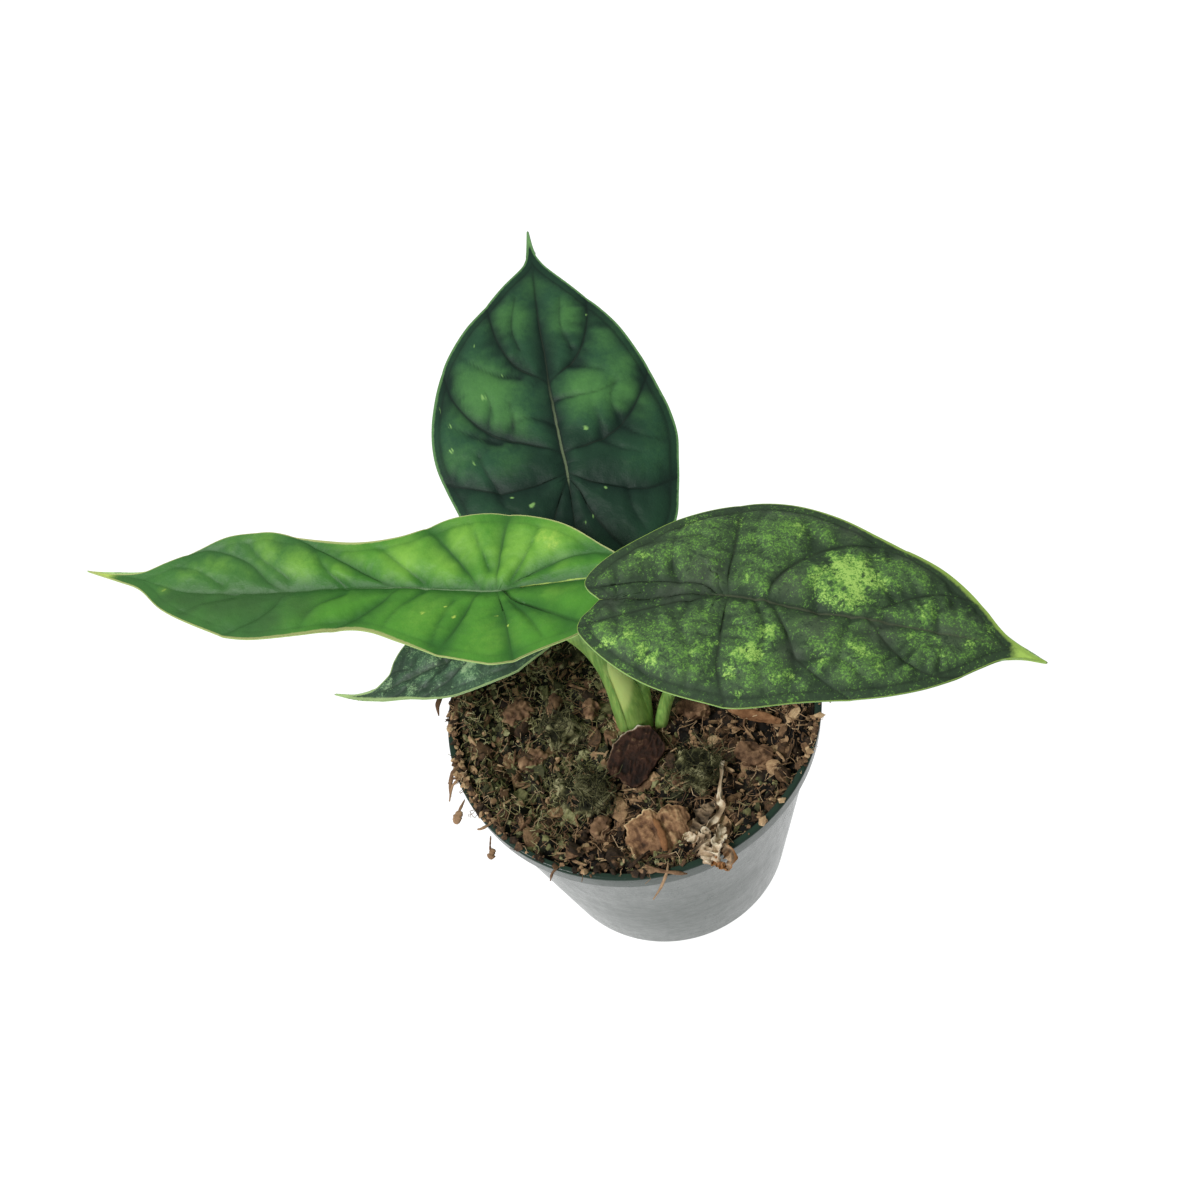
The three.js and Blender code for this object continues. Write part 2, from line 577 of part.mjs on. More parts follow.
/** Flat points of one half of a blade, row by row from the notch to the tip, midrib outwards. */
function halfGrid(blade, plan, side) {
  const margin = plan.sides[side];
  const rowAt = (line, c) => pointAt(line, c * line.total);
  const still = (length) => {
    const point = pointAt(plan.midrib, length);
    return { line: [point, point.clone()], lengths: [0, 1e-6], total: 1e-6 };
  };
  const last = plan.midrib.total;
  const stops = [
    { footLength: 0, line: still(0), endLength: 0 },
    ...plan.ribs.map((rib) => ({ footLength: rib.footLength, ...rib[side] })),
    { footLength: last, line: still(last), endLength: margin.total },
  ];
  const rows = [];
  for (let part = 0; part < stops.length - 1; part += 1) {
    const from = stops[part];
    const to = stops[part + 1];
    for (let step = part === 0 ? 1 : 0; step < blade.steps[part]; step += 1) {
      const f = step / blade.steps[part];
      const foot = pointAt(plan.midrib, THREE.MathUtils.lerp(from.footLength, to.footLength, f));
      const end = pointAt(margin, THREE.MathUtils.lerp(from.endLength, to.endLength, f));
      const plainFoot = rowAt(from.line, 0).lerp(rowAt(to.line, 0), f);
      const plainEnd = rowAt(from.line, 1).lerp(rowAt(to.line, 1), f);
      const border = Math.min(BORDER_VEIN_INSET / Math.max(foot.distanceTo(end), 1e-6), 1 / blade.columns);
      const row = [];
      for (let column = 0; column <= blade.columns; column += 1) {
        const c = column === blade.columns ? 1 : (column / (blade.columns - 1)) * (1 - border);
        const point = rowAt(from.line, c).lerp(rowAt(to.line, c), f);
        point.addScaledVector(foot.clone().sub(plainFoot), 1 - c);
        point.addScaledVector(end.clone().sub(plainEnd), c);
        row.push(point);
      }
      rows.push(row);
    }
  }
  return rows;
}

/** Height of the quilted relief and depth inside the margin at a flat point. */
function quilting(plan, point) {
  const valley = (distance, width, depth) => 1 - depth * Math.exp(-((distance / width) ** 2));
  const inset = Math.min(distanceTo(plan.sides.left, point), distanceTo(plan.sides.right, point));
  let height = valley(distanceTo(plan.midrib, point), MIDRIB_HALF_WIDTH, 1);
  for (const rib of plan.ribs) {
    const distance = Math.min(distanceTo(rib.left.line, point), distanceTo(rib.right.line, point));
    height *= valley(distance, VEIN_HALF_WIDTH, VEIN_DEPTH);
  }
  height *= valley(inset - BORDER_VEIN_INSET, BORDER_VEIN_HALF_WIDTH, BORDER_VEIN_DEPTH);
  height *= 0.35 + 0.65 * ramp(inset, 0, BORDER_VEIN_INSET * 2.5);
  return { height: QUILT_HEIGHT * height, inset };
}

/** Sideways place of the midrib at a forward distance. */
function midribSide(plan, forward) {
  const { line } = plan.midrib;
  const index = line.findIndex((point) => point.x >= forward);
  if (index < 1) {
    return index === 0 ? line[0].y : line[line.length - 1].y;
  }
  const before = line[index - 1];
  const after = line[index];
  return THREE.MathUtils.mapLinear(forward, before.x, after.x, before.y, after.y);
}

/** The bent place of a flat point on the middle of the blade's thickness. */
function bentPoint(blade, plan, point, relief) {
  const { middle, side, up } = bladeFrame(blade, point.x);
  const away = Math.abs(point.y - midribSide(plan, point.x));
  const lift = blade.fold * (Math.hypot(away, CREASE_ROUNDING) - CREASE_ROUNDING) - blade.curl * away ** 2;
  return middle.addScaledVector(side, point.y).addScaledVector(up, lift + relief);
}

/** A blade's closed solid: two like faces either side of the bent middle, joined round the margin. */
function bladeGeometry(blade) {
  const plan = bladePlan(blade);
  const leftRows = halfGrid(blade, plan, 'left');
  const rightRows = halfGrid(blade, plan, 'right');
  const width = 2 * blade.columns + 1;
  const flat = [pointAt(plan.midrib, 0)];
  leftRows.forEach((row, i) => flat.push(...rightRows[i].slice(1).reverse(), ...row));
  flat.push(pointAt(plan.midrib, plan.midrib.total));
  const tip = flat.length - 1;
  const at = (row, column) => 1 + row * width + column;
  const lastRow = leftRows.length - 1;
  const faces = [];
  for (let column = 0; column < width - 1; column += 1) {
    faces.push([0, at(0, column), at(0, column + 1)]);
    for (let row = 0; row < lastRow; row += 1) {
      const corner = at(row, column);
      const ahead = at(row + 1, column);
      faces.push([corner, ahead, ahead + 1], [corner, ahead + 1, corner + 1]);
    }
    faces.push([at(lastRow, column), tip, at(lastRow, column + 1)]);
  }
  const rows = leftRows.map((unused, row) => row);
  const rim = [0, ...rows.map((row) => at(row, width - 1)), tip, ...rows.reverse().map((row) => at(row, 0))];

  const reliefs = flat.map((point) => quilting(plan, point));
  const bent = flat.map((point, i) => bentPoint(blade, plan, point, reliefs[i].height));
  const middle = indexedGeometry(bent.flatMap((point) => [point.x, point.y, point.z]), faces.flat());
  const normals = middle.attributes.normal;
  const positions = [];
  for (const face of [1, -1]) {
    bent.forEach((point, i) => {
      const normal = new THREE.Vector3().fromBufferAttribute(normals, i);
      const inward = ramp(reliefs[i].inset, 0, EDGE_TAPER);
      const thickness = THREE.MathUtils.lerp(BLADE_EDGE_THICKNESS, BLADE_THICKNESS, inward);
      const moved = point.clone().addScaledVector(normal, (face * thickness) / 2);
      positions.push(moved.x, moved.y, moved.z);
    });
  }
  const below = flat.length;
  const indices = faces.flat();
  faces.forEach(([a, b, c]) => indices.push(below + a, below + c, below + b));
  rim.forEach((vertex, i) => {
    const next = rim[(i + 1) % rim.length];
    indices.push(vertex, next, below + next, vertex, below + next, below + vertex);
  });
  return indexedGeometry(positions, indices);
}

// Bark, moss and the withered leaf

/** A rough slab with a lumpy outline, grown by a clearance where it cuts its own seat. */
function barkGeometry({ sides, size, seed, at, turn }, clearance) {
  const random = randomSource(seed);
  const bumps = Array.from({ length: sides }, () => BARK_REACH + BARK_SCATTER * random());
  const rings = BARK_RINGS.map(([scale, level]) => bumps.map((bump, i) => {
    const angle = ((i + 0.5) / sides) * 2 * Math.PI;
    const reach = scale * bump;
    const rough = level > 0 ? BARK_TOP_SCATTER * size[2] * (random() - 0.5) : 0;
    return new THREE.Vector3(
      (size[0] / 2) * reach * Math.cos(angle),
      (size[1] / 2) * reach * Math.sin(angle),
      size[2] * level + rough,
    );
  }));
  const grown = size.map((side) => 1 + clearance * (2 / side + BARK_SEAT_GROWTH));
  return placed(loft(rings).scale(...grown), at, turn);
}

/** A low cushion with a lumpy top, grown by a clearance where it cuts its own seat. */
function mossGeometry({ size, seed, at }, clearance) {
  const random = randomSource(seed);
  const bumps = Array.from({ length: MOSS_SIDES }, () => MOSS_REACH + MOSS_SCATTER * random());
  const rings = MOSS_RINGS.map(([scale, level], row) => bumps.map((bump, i) => {
    const angle = ((i + 0.5) / MOSS_SIDES) * 2 * Math.PI;
    const rough = row > 1 ? MOSS_TOP_SCATTER * size[2] * (random() - 0.5) : 0;
    return new THREE.Vector3(
      (size[0] / 2) * scale * bump * Math.cos(angle),
      (size[1] / 2) * scale * bump * Math.sin(angle),
      size[2] * level + rough,
    );
  }));
  const grown = size.map((side) => (side + 2 * clearance) / side);
  return placed(loft(rings).scale(...grown), at);
}

/** The withered leaf's thin cupped sheet, grown by a clearance where it cuts its own seat. */
function dryLeafGeometry(clearance) {
  const { stations, columns, thickness } = DRY_LEAF;
  const half = thickness / 2 + clearance;
  const rings = stations.map((station, i) => {
    const before = vector(stations[Math.max(i - 1, 0)].at);
    const after = vector(stations[Math.min(i + 1, stations.length - 1)].at);
    const along = after.sub(before).normalize();
    const across = new THREE.Vector3().crossVectors(along, new THREE.Vector3(0, 0, 1)).normalize();
    const up = new THREE.Vector3().crossVectors(across, along);
    const upper = [];
    const lower = [];
    for (let column = -columns; column <= columns; column += 1) {
      const c = column / columns;
      const spot = vector(station.at).addScaledVector(across, c * (station.half + clearance));
      const lift = station.cup * (c * c - 0.4);
      upper.push(spot.clone().addScaledVector(up, lift + half));
      lower.unshift(spot.clone().addScaledVector(up, lift - half));
    }
    return [...upper, ...lower];
  });
  return loft(rings);
}

// Bark mix

/** Height of the bark mix at a place in the pot: broad lumps, lower against the wall. */
function soilHeight(x, y) {
  const radius = Math.hypot(x, y);
  const edge = wallRadius(SOIL_LEVEL) - POT_WALL;
  const broad = 1.1 * Math.sin(0.31 * x + 1.3) * Math.sin(0.27 * y + 0.4);
  const lumps = 0.8 * Math.sin(0.83 * x - 0.57 * y + 2.1) * Math.sin(0.61 * y + 0.49 * x);
  return SOIL_LEVEL + broad + lumps - SOIL_EDGE_DROP * ramp(radius, edge - SOIL_EDGE_BAND, edge);
}

function soilGeometry(cutters) {
  const shoulder = SOIL_LEVEL - SOIL_SHOULDER;
  const top = wallRadius(shoulder) - POT_WALL - 2 * GAP;
  const floor = POT_FLOOR + GAP;
  const foot = wallRadius(floor) - POT_WALL - GAP;
  const bands = [[foot - 1.6, floor], [foot, floor + 2], [top, shoulder]];
  const positions = [0, 0, floor];
  const push = (radius, index, height) => {
    const angle = (index / POT_SIDES) * 2 * Math.PI;
    const x = radius * Math.cos(angle);
    const y = radius * Math.sin(angle);
    positions.push(x, y, height ?? soilHeight(x, y));
  };
  const ringOf = (radius, height) => {
    for (let i = 0; i < POT_SIDES; i += 1) {
      push(radius, i, height);
    }
  };
  bands.forEach(([radius, height]) => ringOf(radius, height));
  for (let ring = SOIL_RINGS; ring >= 1; ring -= 1) {
    ringOf((top * ring) / SOIL_RINGS);
  }
  positions.push(0, 0, soilHeight(0, 0));
  const rings = bands.length + SOIL_RINGS;
  const at = (ring, i) => 1 + ring * POT_SIDES + (i % POT_SIDES);
  const indices = [];
  for (let i = 0; i < POT_SIDES; i += 1) {
    indices.push(0, at(0, i + 1), at(0, i));
    for (let ring = 0; ring < rings - 1; ring += 1) {
      indices.push(at(ring, i), at(ring, i + 1), at(ring + 1, i + 1));
      indices.push(at(ring, i), at(ring + 1, i + 1), at(ring + 1, i));
    }
    indices.push(at(rings - 1, i), at(rings - 1, i + 1), 1 + rings * POT_SIDES);
  }
  const whole = toSolid(indexedGeometry(positions, indices));
  return toGeometry(cutters.reduce((soil, cutter) => soil.subtract(toSolid(cutter)), whole));
}

/** A plug that clears the thin slivers of mix between the stalks' clasping feet. */
function heartGeometry() {
  const top = SOIL_LEVEL + HEART_RISE;
  const plug = new THREE.CylinderGeometry(HEART_RADIUS, HEART_RADIUS, top - CORM_TOP, HEART_SIDES);
  plug.rotateX(Math.PI / 2);
  plug.translate(HEART_MIDDLE.x, HEART_MIDDLE.y, (top + CORM_TOP) / 2);
  return plug;
}

const cutters = [cormGeometry(GAP), heartGeometry()];
Object.keys(STALKS).forEach((name) => cutters.push(stalkGeometry(name, GAP)));
Object.values(BARK).forEach((bark) => cutters.push(barkGeometry(bark, GAP)));
Object.values(MOSS).forEach((moss) => cutters.push(mossGeometry(moss, GAP)));
cutters.push(dryLeafGeometry(GAP));

add('pot', potGeometry(), 'pot');
add('soil', soilGeometry(cutters), 'soil');
add('corm', cormGeometry(0), 'corm');
for (const name of Object.keys(BLADES)) {
  add(`stalk_${name}`, stalkGeometry(name, 0), 'stalk');
  add(`blade_${name}`, bladeGeometry(BLADES[name]), `blade_${name}`);
}
for (const [name, bark] of Object.entries(BARK)) {
  add(name, barkGeometry(bark, 0), 'bark');
}
for (const [name, moss] of Object.entries(MOSS)) {
  add(name, mossGeometry(moss, 0), 'moss');
}
add('dry_leaf', dryLeafGeometry(0), 'dry_leaf');

export default plant;
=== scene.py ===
"""Looks of a potted dragon scale alocasia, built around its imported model.

Sizes in the classes are millimetres with +Z up and the origin in the middle of the pot's base.
They become metres where a mesh is made.
"""

import logging
import math
from collections.abc import Sequence
from dataclasses import dataclass
from enum import Enum
from typing import Any

import bpy
import numpy as np
from mathutils import Matrix, Vector


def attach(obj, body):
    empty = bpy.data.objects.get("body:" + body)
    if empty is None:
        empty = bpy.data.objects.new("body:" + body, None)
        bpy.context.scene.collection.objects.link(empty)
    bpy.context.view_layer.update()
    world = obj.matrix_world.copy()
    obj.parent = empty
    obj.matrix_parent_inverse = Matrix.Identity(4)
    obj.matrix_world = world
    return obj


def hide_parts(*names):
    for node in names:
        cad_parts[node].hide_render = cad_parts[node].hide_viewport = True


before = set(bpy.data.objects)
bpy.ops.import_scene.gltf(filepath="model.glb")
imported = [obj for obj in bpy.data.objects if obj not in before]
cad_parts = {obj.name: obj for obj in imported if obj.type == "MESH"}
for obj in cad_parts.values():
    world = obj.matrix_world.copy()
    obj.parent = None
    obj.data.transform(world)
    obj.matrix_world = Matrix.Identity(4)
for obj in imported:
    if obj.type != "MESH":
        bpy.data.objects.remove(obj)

log = logging.getLogger("alocasia")
Array = np.ndarray
Faces = list[list[int]]
Inputs = dict[Any, Any]
Material = bpy.types.Material
Object = bpy.types.Object
Place = tuple[float, float, float]
Points = Sequence[Sequence[float]]
MM = 0.001


# Numbers and smooth lines


def ramp(value: Array | float, low: float, high: float) -> Array:
    """Smooth rise from 0 at low to 1 at high."""
    t = np.clip((np.asarray(value, float) - low) / (high - low), 0, 1)
    return t * t * (3 - 2 * t)


def bell(distance: Array, width: Array | float, power: float = 2) -> Array:
    """Smooth fall from 1 at a distance of 0 to about a third at a width."""
    return np.exp(-((distance / width) ** power))


def unit(vectors: Array) -> Array:
    """Vectors scaled to a length of 1."""
    return vectors / np.maximum(np.linalg.norm(vectors, axis=-1, keepdims=True), 1e-12)


def circle(angle: Array) -> Array:
    """Points at angles on a circle of radius 1."""
    return np.stack([np.cos(angle), np.sin(angle)], axis=-1)


def all_round(count: int, shift: float = 0.0) -> Array:
    """Even angles once round, moved by a share of their distance."""
    return (np.arange(count) + shift) / count * 2 * math.pi


def value_noise(points: Array, seed: int) -> Array:
    """Smooth random numbers from -1 to 1 that change over a distance of 1.

    Args:
        points: Places in space.
        seed: Picks one field of numbers.

    Returns:
        One number for each place.
    """
    cell = np.floor(points).astype(np.int64)
    local = points - cell
    weight = local * local * (3 - 2 * local)
    total = np.zeros(points.shape[:-1])
    for corner in np.ndindex(2, 2, 2):
        key = (cell + corner) @ np.array([73856093, 19349663, 83492791]) + seed * 2654435761
        key = ((key ^ (key >> 13)) * 1274126177) & 0xFFFFFFFF
        key ^= key >> 15
        share = np.prod(np.where(corner, weight, 1 - weight), axis=-1)
        total += share * ((key & 0xFFFF) / 32767.5 - 1)
    return total


def rough(points: Array, size: float, octaves: int, seed: int) -> Array:
    """Layers of noise, each half as large and half as strong as the one before.

    Args:
        points: Places in space.
        size: Size of the first layer's lumps.
        octaves: Number of layers.
        seed: Picks one field of numbers.

    Returns:
        One number for each place.
    """
    total = np.zeros(points.shape[:-1])
    for layer in range(octaves):
        total += value_noise(points * 2**layer / size + 17.3 * layer, seed + layer) / 2**layer
    return total


def smooth_curve(knots: Points, places: Array, even: bool = True) -> Array:
    """Points of a smooth curve through knots.

    Args:
        knots: Places that the curve passes.
        places: From 0 at the first knot to 1 at the last.
        even: Spaces the knots evenly, and otherwise by the root of their distance.

    Returns:
        One point for each place.
    """
    inner = np.asarray(knots, float)
    ends = np.vstack([2 * inner[0] - inner[1], inner, 2 * inner[-1] - inner[-2]])
    spot = np.clip(places, 0, 1) * (len(inner) - 1)
    index = np.minimum(spot.astype(int), len(inner) - 2)
    w = (spot - index)[:, None]
    p0, p1, p2, p3 = (ends[index + k] for k in range(4))
    if even:
        t1, t2 = (p2 - p0) / 2, (p3 - p1) / 2
    else:
        d0, d1, d2 = (
            np.maximum(np.linalg.norm(b - a, axis=1, keepdims=True) ** 0.5, 1e-4)
            for a, b in ((p0, p1), (p1, p2), (p2, p3))
        )
        t1 = ((p1 - p0) / d0 - (p2 - p0) / (d0 + d1) + (p2 - p1) / d1) * d1
        t2 = ((p2 - p1) / d1 - (p3 - p1) / (d1 + d2) + (p3 - p2) / d2) * d1
    return p1 + t1 * w + (3 * (p2 - p1) - 2 * t1 - t2) * w**2 + (2 * (p1 - p2) + t1 + t2) * w**3


class Line:
    """A smooth line with its running length."""

    def __init__(self, knots: Points, per_span: int = 8) -> None:
        """Smooths the knots into short steps.

        Args:
            knots: Places that the line passes.
            per_span: Steps between two knots.
        """
        steps = (len(knots) - 1) * per_span
        self.points = smooth_curve(knots, np.linspace(0, 1, steps + 1))
        gaps = np.linalg.norm(np.diff(self.points, axis=0), axis=1)
        self.lengths = np.concatenate([[0], np.cumsum(gaps)])
        self.total = float(self.lengths[-1])

    def at(self, length: Array | float) -> Array:
        """Points at running lengths."""
        return np.stack([np.interp(length, self.lengths, axis) for axis in self.points.T], axis=-1)

    def near(self, point: Array) -> float:
        """Running length of the place nearest to a point."""
        return float(self.lengths[np.argmin(np.linalg.norm(self.points - point, axis=1))])

    def reaching(self, forward: float) -> float:
        """Running length where the line first gets as far forward as a distance."""
        return float(self.lengths[np.argmax(self.points[:, 0] >= forward)])

    def distance(self, points: Array) -> tuple[Array, Array]:
        """Measures points against the line.

        Args:
            points: Places, one row each.

        Returns:
            How far each is from the line, and how far along it from 0 to 1.
        """
        start, step = self.points[:-1], np.diff(self.points, axis=0)
        square = np.maximum((step**2).sum(1), 1e-12)
        near, along = [], []
        for chunk in np.array_split(points, len(points) // 3000 + 1):
            offset = chunk[:, None] - start
            t = np.clip((offset * step).sum(2) / square, 0, 1)
            away = np.linalg.norm(offset - t[..., None] * step, axis=2)
            best = away.argmin(1)
            rows = np.arange(len(chunk))
            near.append(away[rows, best])
            along.append((self.lengths[best] + t[rows, best] * np.sqrt(square[best])) / self.total)
        return np.concatenate(near), np.concatenate(along)


# Meshes


def vertex_normals(points: Array, triangles: Array) -> Array:
    """Normals at points.

    Args:
        points: Corners of the triangles.
        triangles: Three places among the points for each triangle.

    Returns:
        The mean direction of the triangles round each point.
    """
    a, b, c = (points[triangles[:, k]] for k in range(3))
    cross = np.cross(b - a, c - a)
    normals = np.zeros_like(points)
    for k in range(3):
        np.add.at(normals, triangles[:, k], cross)
    return unit(normals)


def linked(name: str, data: bpy.types.ID) -> Object:
    """A new object of the scene.

    Args:
        name: Its name.
        data: The mesh, lamp or camera that it shows.

    Returns:
        The object.
    """
    made = bpy.data.objects.new(name, data)
    bpy.context.scene.collection.objects.link(made)
    return made


def write_values(mesh: bpy.types.Mesh, values: dict[str, Array]) -> None:
    """Writes named numbers.

    Args:
        mesh: The mesh that gets them.
        values: One number for each corner, by name.
    """
    for key, numbers in values.items():
        layer = mesh.attributes.new(key, "FLOAT", "POINT")
        layer.data.foreach_set("value", np.asarray(numbers, np.float32))


def make_mesh(name: str, points: Array, faces: Faces, **values: Array) -> Object:
    """A smooth-shaded mesh object at the origin.

    Args:
        name: Name of the object.
        points: Its corners in millimetres.
        faces: Corners of each face.
        values: Named numbers, one for each corner.

    Returns:
        The object, linked to the scene.
    """
    mesh = bpy.data.meshes.new(name)
    mesh.from_pydata((np.asarray(points) * MM).tolist(), [], faces)
    mesh.shade_smooth()
    write_values(mesh, values)
    return linked(name, mesh)


def corners_of(piece: Object, what: str) -> Array:
    """Reads the corners of a mesh object.

    Args:
        piece: The object.
        what: co for their places in metres, or normal.

    Returns:
        One row for each corner.
    """
    flat = np.zeros(len(piece.data.vertices) * 3)
    piece.data.vertices.foreach_get(what, flat)
    return flat.reshape(-1, 3)


def applied(piece: Object, name: str) -> Object:
    """Turns an object with modifiers into a plain mesh object.

    Args:
        piece: The object, which is removed.
        name: Name of the new one.

    Returns:
        The plain object.
    """
    state = bpy.context.evaluated_depsgraph_get()
    shown = piece.evaluated_get(state)
    mesh = bpy.data.meshes.new_from_object(shown, preserve_all_data_layers=True, depsgraph=state)
    bpy.data.objects.remove(piece)
    mesh.name = name
    return linked(name, mesh)


def loft(rings: Array) -> tuple[Array, Faces]:
    """A closed skin over rings that turn left about their row's direction.

    Args:
        rings: Rows of points, one row for each ring.

    Returns:
        The points and the faces. Strips between the ring's halves close both ends.
    """
    rows, count, _ = rings.shape
    ring = np.arange(count)
    faces: Faces = []
    for row in range(rows - 1):
        a = row * count + ring
        b = row * count + (ring + 1) % count
        faces += np.stack([a, b, b + count, a + count], axis=1).tolist()
    last = (rows - 1) * count
    for i in range(count // 2 - 1):
        near, far = (i, i + 1), (count - 1 - i, count - 2 - i)
        faces.append([near[0], far[0], far[1], near[1]])
        faces.append([last + near[0], last + near[1], last + far[1], last + far[0]])
    return rings.reshape(-1, 3), faces


def joined(skins: Sequence[tuple[Array, Faces]]) -> tuple[Array, Faces]:
    """Several skins as one.

    Args:
        skins: Points and faces of each.

    Returns:
        The points and faces of all.
    """
    faces: Faces = []
    start = 0
    for points, skin in skins:
        faces += [[start + i for i in face] for face in skin]
        start += len(points)
    return np.vstack([points for points, _ in skins]), faces


# Node trees


def colour(code: str) -> tuple[float, ...]:
    """A hexadecimal screen colour as linear light."""
    parts = (int(code[i : i + 2], 16) / 255 for i in (1, 3, 5))
    return *(p / 12.92 if p <= 0.04045 else ((p + 0.055) / 1.055) ** 2.4 for p in parts), 1.0


class Value:
    """An output of a node, for use in expressions of numbers."""

    def __init__(self, tree: "Tree", socket: bpy.types.NodeSocket) -> None:
        """Wraps a socket of a tree."""
        self.tree = tree
        self.socket = socket

    def math(self, operation: str, *others: Any) -> "Value":
        """The result of a Math node whose first number is this one."""
        return self.tree.calc(operation, self, *others)

    def __add__(self, other: Any) -> "Value":
        """This plus other."""
        return self.math("ADD", other)

    __radd__ = __add__

    def __sub__(self, other: Any) -> "Value":
        """This minus other."""
        return self.math("SUBTRACT", other)

    def __rsub__(self, other: Any) -> "Value":
        """Other minus this."""
        return self.tree.calc("SUBTRACT", other, self)

    def __mul__(self, other: Any) -> "Value":
        """This times other."""
        return self.math("MULTIPLY", other)

    __rmul__ = __mul__

    def __truediv__(self, other: Any) -> "Value":
        """This over other."""
        return self.math("DIVIDE", other)

    def __pow__(self, other: Any) -> "Value":
        """This to a power."""
        return self.math("POWER", other)

    def step(self, low: float, high: float) -> "Value":
        """Smooth rise from 0 at low to 1 at high, or fall where low is the larger."""
        ends = {1: min(low, high), 2: max(low, high), 3: float(low > high), 4: float(high > low)}
        return self.tree.value("ShaderNodeMapRange", {"interpolation_type": "SMOOTHSTEP"}, {0: self, **ends})


class Tree:
    """A node tree that is built one node at a time."""

    def __init__(self, tree: bpy.types.NodeTree) -> None:
        """Starts with no nodes."""
        self.tree = tree
        tree.nodes.clear()

    def node(self, kind: str, settings: Inputs | None = None, inputs: Inputs | None = None) -> Any:
        """Adds a node.

        Args:
            kind: Type of the node.
            settings: Its own properties, and for a ramp its stops.
            inputs: Numbers, colours or values for its sockets, by name or place.

        Returns:
            The node.
        """
        node = self.tree.nodes.new(kind)
        for name, value in (settings or {}).items():
            if name == "stops":
                self.set_stops(node, value)
            else:
                setattr(node, name, value)
        for key, value in (inputs or {}).items():
            if isinstance(value, Value):
                self.tree.links.new(value.socket, node.inputs[key])
            else:
                node.inputs[key].default_value = value
        return node

    @staticmethod
    def set_stops(node: Any, stops: Sequence[tuple[float, str]]) -> None:
        """Gives a colour ramp its stops.

        Args:
            node: The ramp.
            stops: Place from 0 to 1 and colour code of each.
        """
        elements = node.color_ramp.elements
        while len(elements) < len(stops):
            elements.new(0.5)
        for element, (place, shade) in zip(elements, stops, strict=True):
            element.position = place
            element.color = colour(shade)

    def value(self, kind: str, settings: Inputs | None = None, inputs: Inputs | None = None,
              output: Any = 0) -> Value:
        """Adds a node and returns one of its outputs."""
        return Value(self, self.node(kind, settings, inputs).outputs[output])

    def calc(self, operation: str, *numbers: Any) -> Value:
        """The result of a Math node."""
        return self.value("ShaderNodeMath", {"operation": operation}, dict(enumerate(numbers)))

    def vector(self, operation: str, *parts: Any) -> Value:
        """The vector that a Vector Math node makes."""
        return self.value("ShaderNodeVectorMath", {"operation": operation}, dict(enumerate(parts)))

    def scaled(self, vector: Value, scale: Any) -> Value:
        """A vector times a number."""
        return self.value("ShaderNodeVectorMath", {"operation": "SCALE"}, {0: vector, 3: scale})


class Shader(Tree):
    """The node tree of one material. Its patterns are in millimetres on Object coordinates."""

    def __init__(self, name: str) -> None:
        """Makes an empty material.

        Args:
            name: Its name.
        """
        self.material = bpy.data.materials.new(name)
        self.material.use_nodes = True
        super().__init__(self.material.node_tree)
        self.place = self.scaled(self.value("ShaderNodeTexCoord", output="Object"), 1 / MM)

    def attribute(self, name: str) -> Value:
        """A named number of the mesh."""
        return self.value("ShaderNodeAttribute", {"attribute_name": name}, output="Fac")

    def stretched(self, x: float, y: float, z: float) -> Value:
        """The place with its axes scaled."""
        return self.vector("MULTIPLY", self.place, (x, y, z))

    def shifted(self, x: float, y: float, z: float) -> Value:
        """The place moved, so that a pattern on it differs."""
        return self.vector("ADD", self.place, (x, y, z))

    def noise(self, size: float, detail: float = 2.0, roughness: float = 0.5, where: Value | None = None,
              twist: float = 0.0) -> Value:
        """Cloudy noise from 0 to 1 with lumps of a size in millimetres."""
        inputs = {"Vector": where or self.place, "Scale": 1 / size, "Detail": detail,
                  "Roughness": roughness, "Distortion": twist}
        return self.value("ShaderNodeTexNoise", {"noise_dimensions": "3D"}, inputs, "Fac")

    def cells(self, size: float) -> Value:
        """Distance in a pattern of cells of a size in millimetres."""
        return self.value("ShaderNodeTexVoronoi", None, {"Vector": self.place, "Scale": 1 / size}, "Distance")

    def mix(self, factor: Any, first: Value | str, second: Value | str) -> Value:
        """A colour between two, each the output of a node or a code."""
        pair = [colour(part) if isinstance(part, str) else part for part in (first, second)]
        return self.value("ShaderNodeMix", {"data_type": "RGBA", "clamp_factor": True},
                          {0: factor, 6: pair[0], 7: pair[1]}, 2)

    def shades(self, tone: Value, stops: Sequence[tuple[float, str]]) -> Value:
        """A colour picked by a number from a ramp."""
        return self.value("ShaderNodeValToRGB", {"stops": stops}, {0: tone})

    def bump(self, height: Value, depth: float, under: Value | None = None) -> Value:
        """A normal that follows a height.

        Args:
            height: The height.
            depth: What a height of 1 is in millimetres.
            under: A normal that it adds to.

        Returns:
            The normal.
        """
        inputs: Inputs = {"Strength": 1.0, "Distance": depth * MM, "Height": height}
        if under is not None:
            inputs["Normal"] = under
        return self.value("ShaderNodeBump", None, inputs)

    def finish(self, shade: Any, roughness: Any, normal: Value | None = None, **constants: Any) -> Material:
        """Ends the tree in a Principled surface.

        Args:
            shade: Base colour.
            roughness: Roughness.
            normal: Bumped normal.
            constants: Numbers for other sockets, with _ for the spaces in their names.

        Returns:
            The material.
        """
        inputs: Inputs = {"Base Color": shade, "Roughness": roughness}
        inputs |= {key.replace("_", " "): number for key, number in constants.items()}
        if normal is not None:
            inputs["Normal"] = normal
        surface = self.value("ShaderNodeBsdfPrincipled", None, inputs)
        self.node("ShaderNodeOutputMaterial", None, {"Surface": surface})
        return self.material


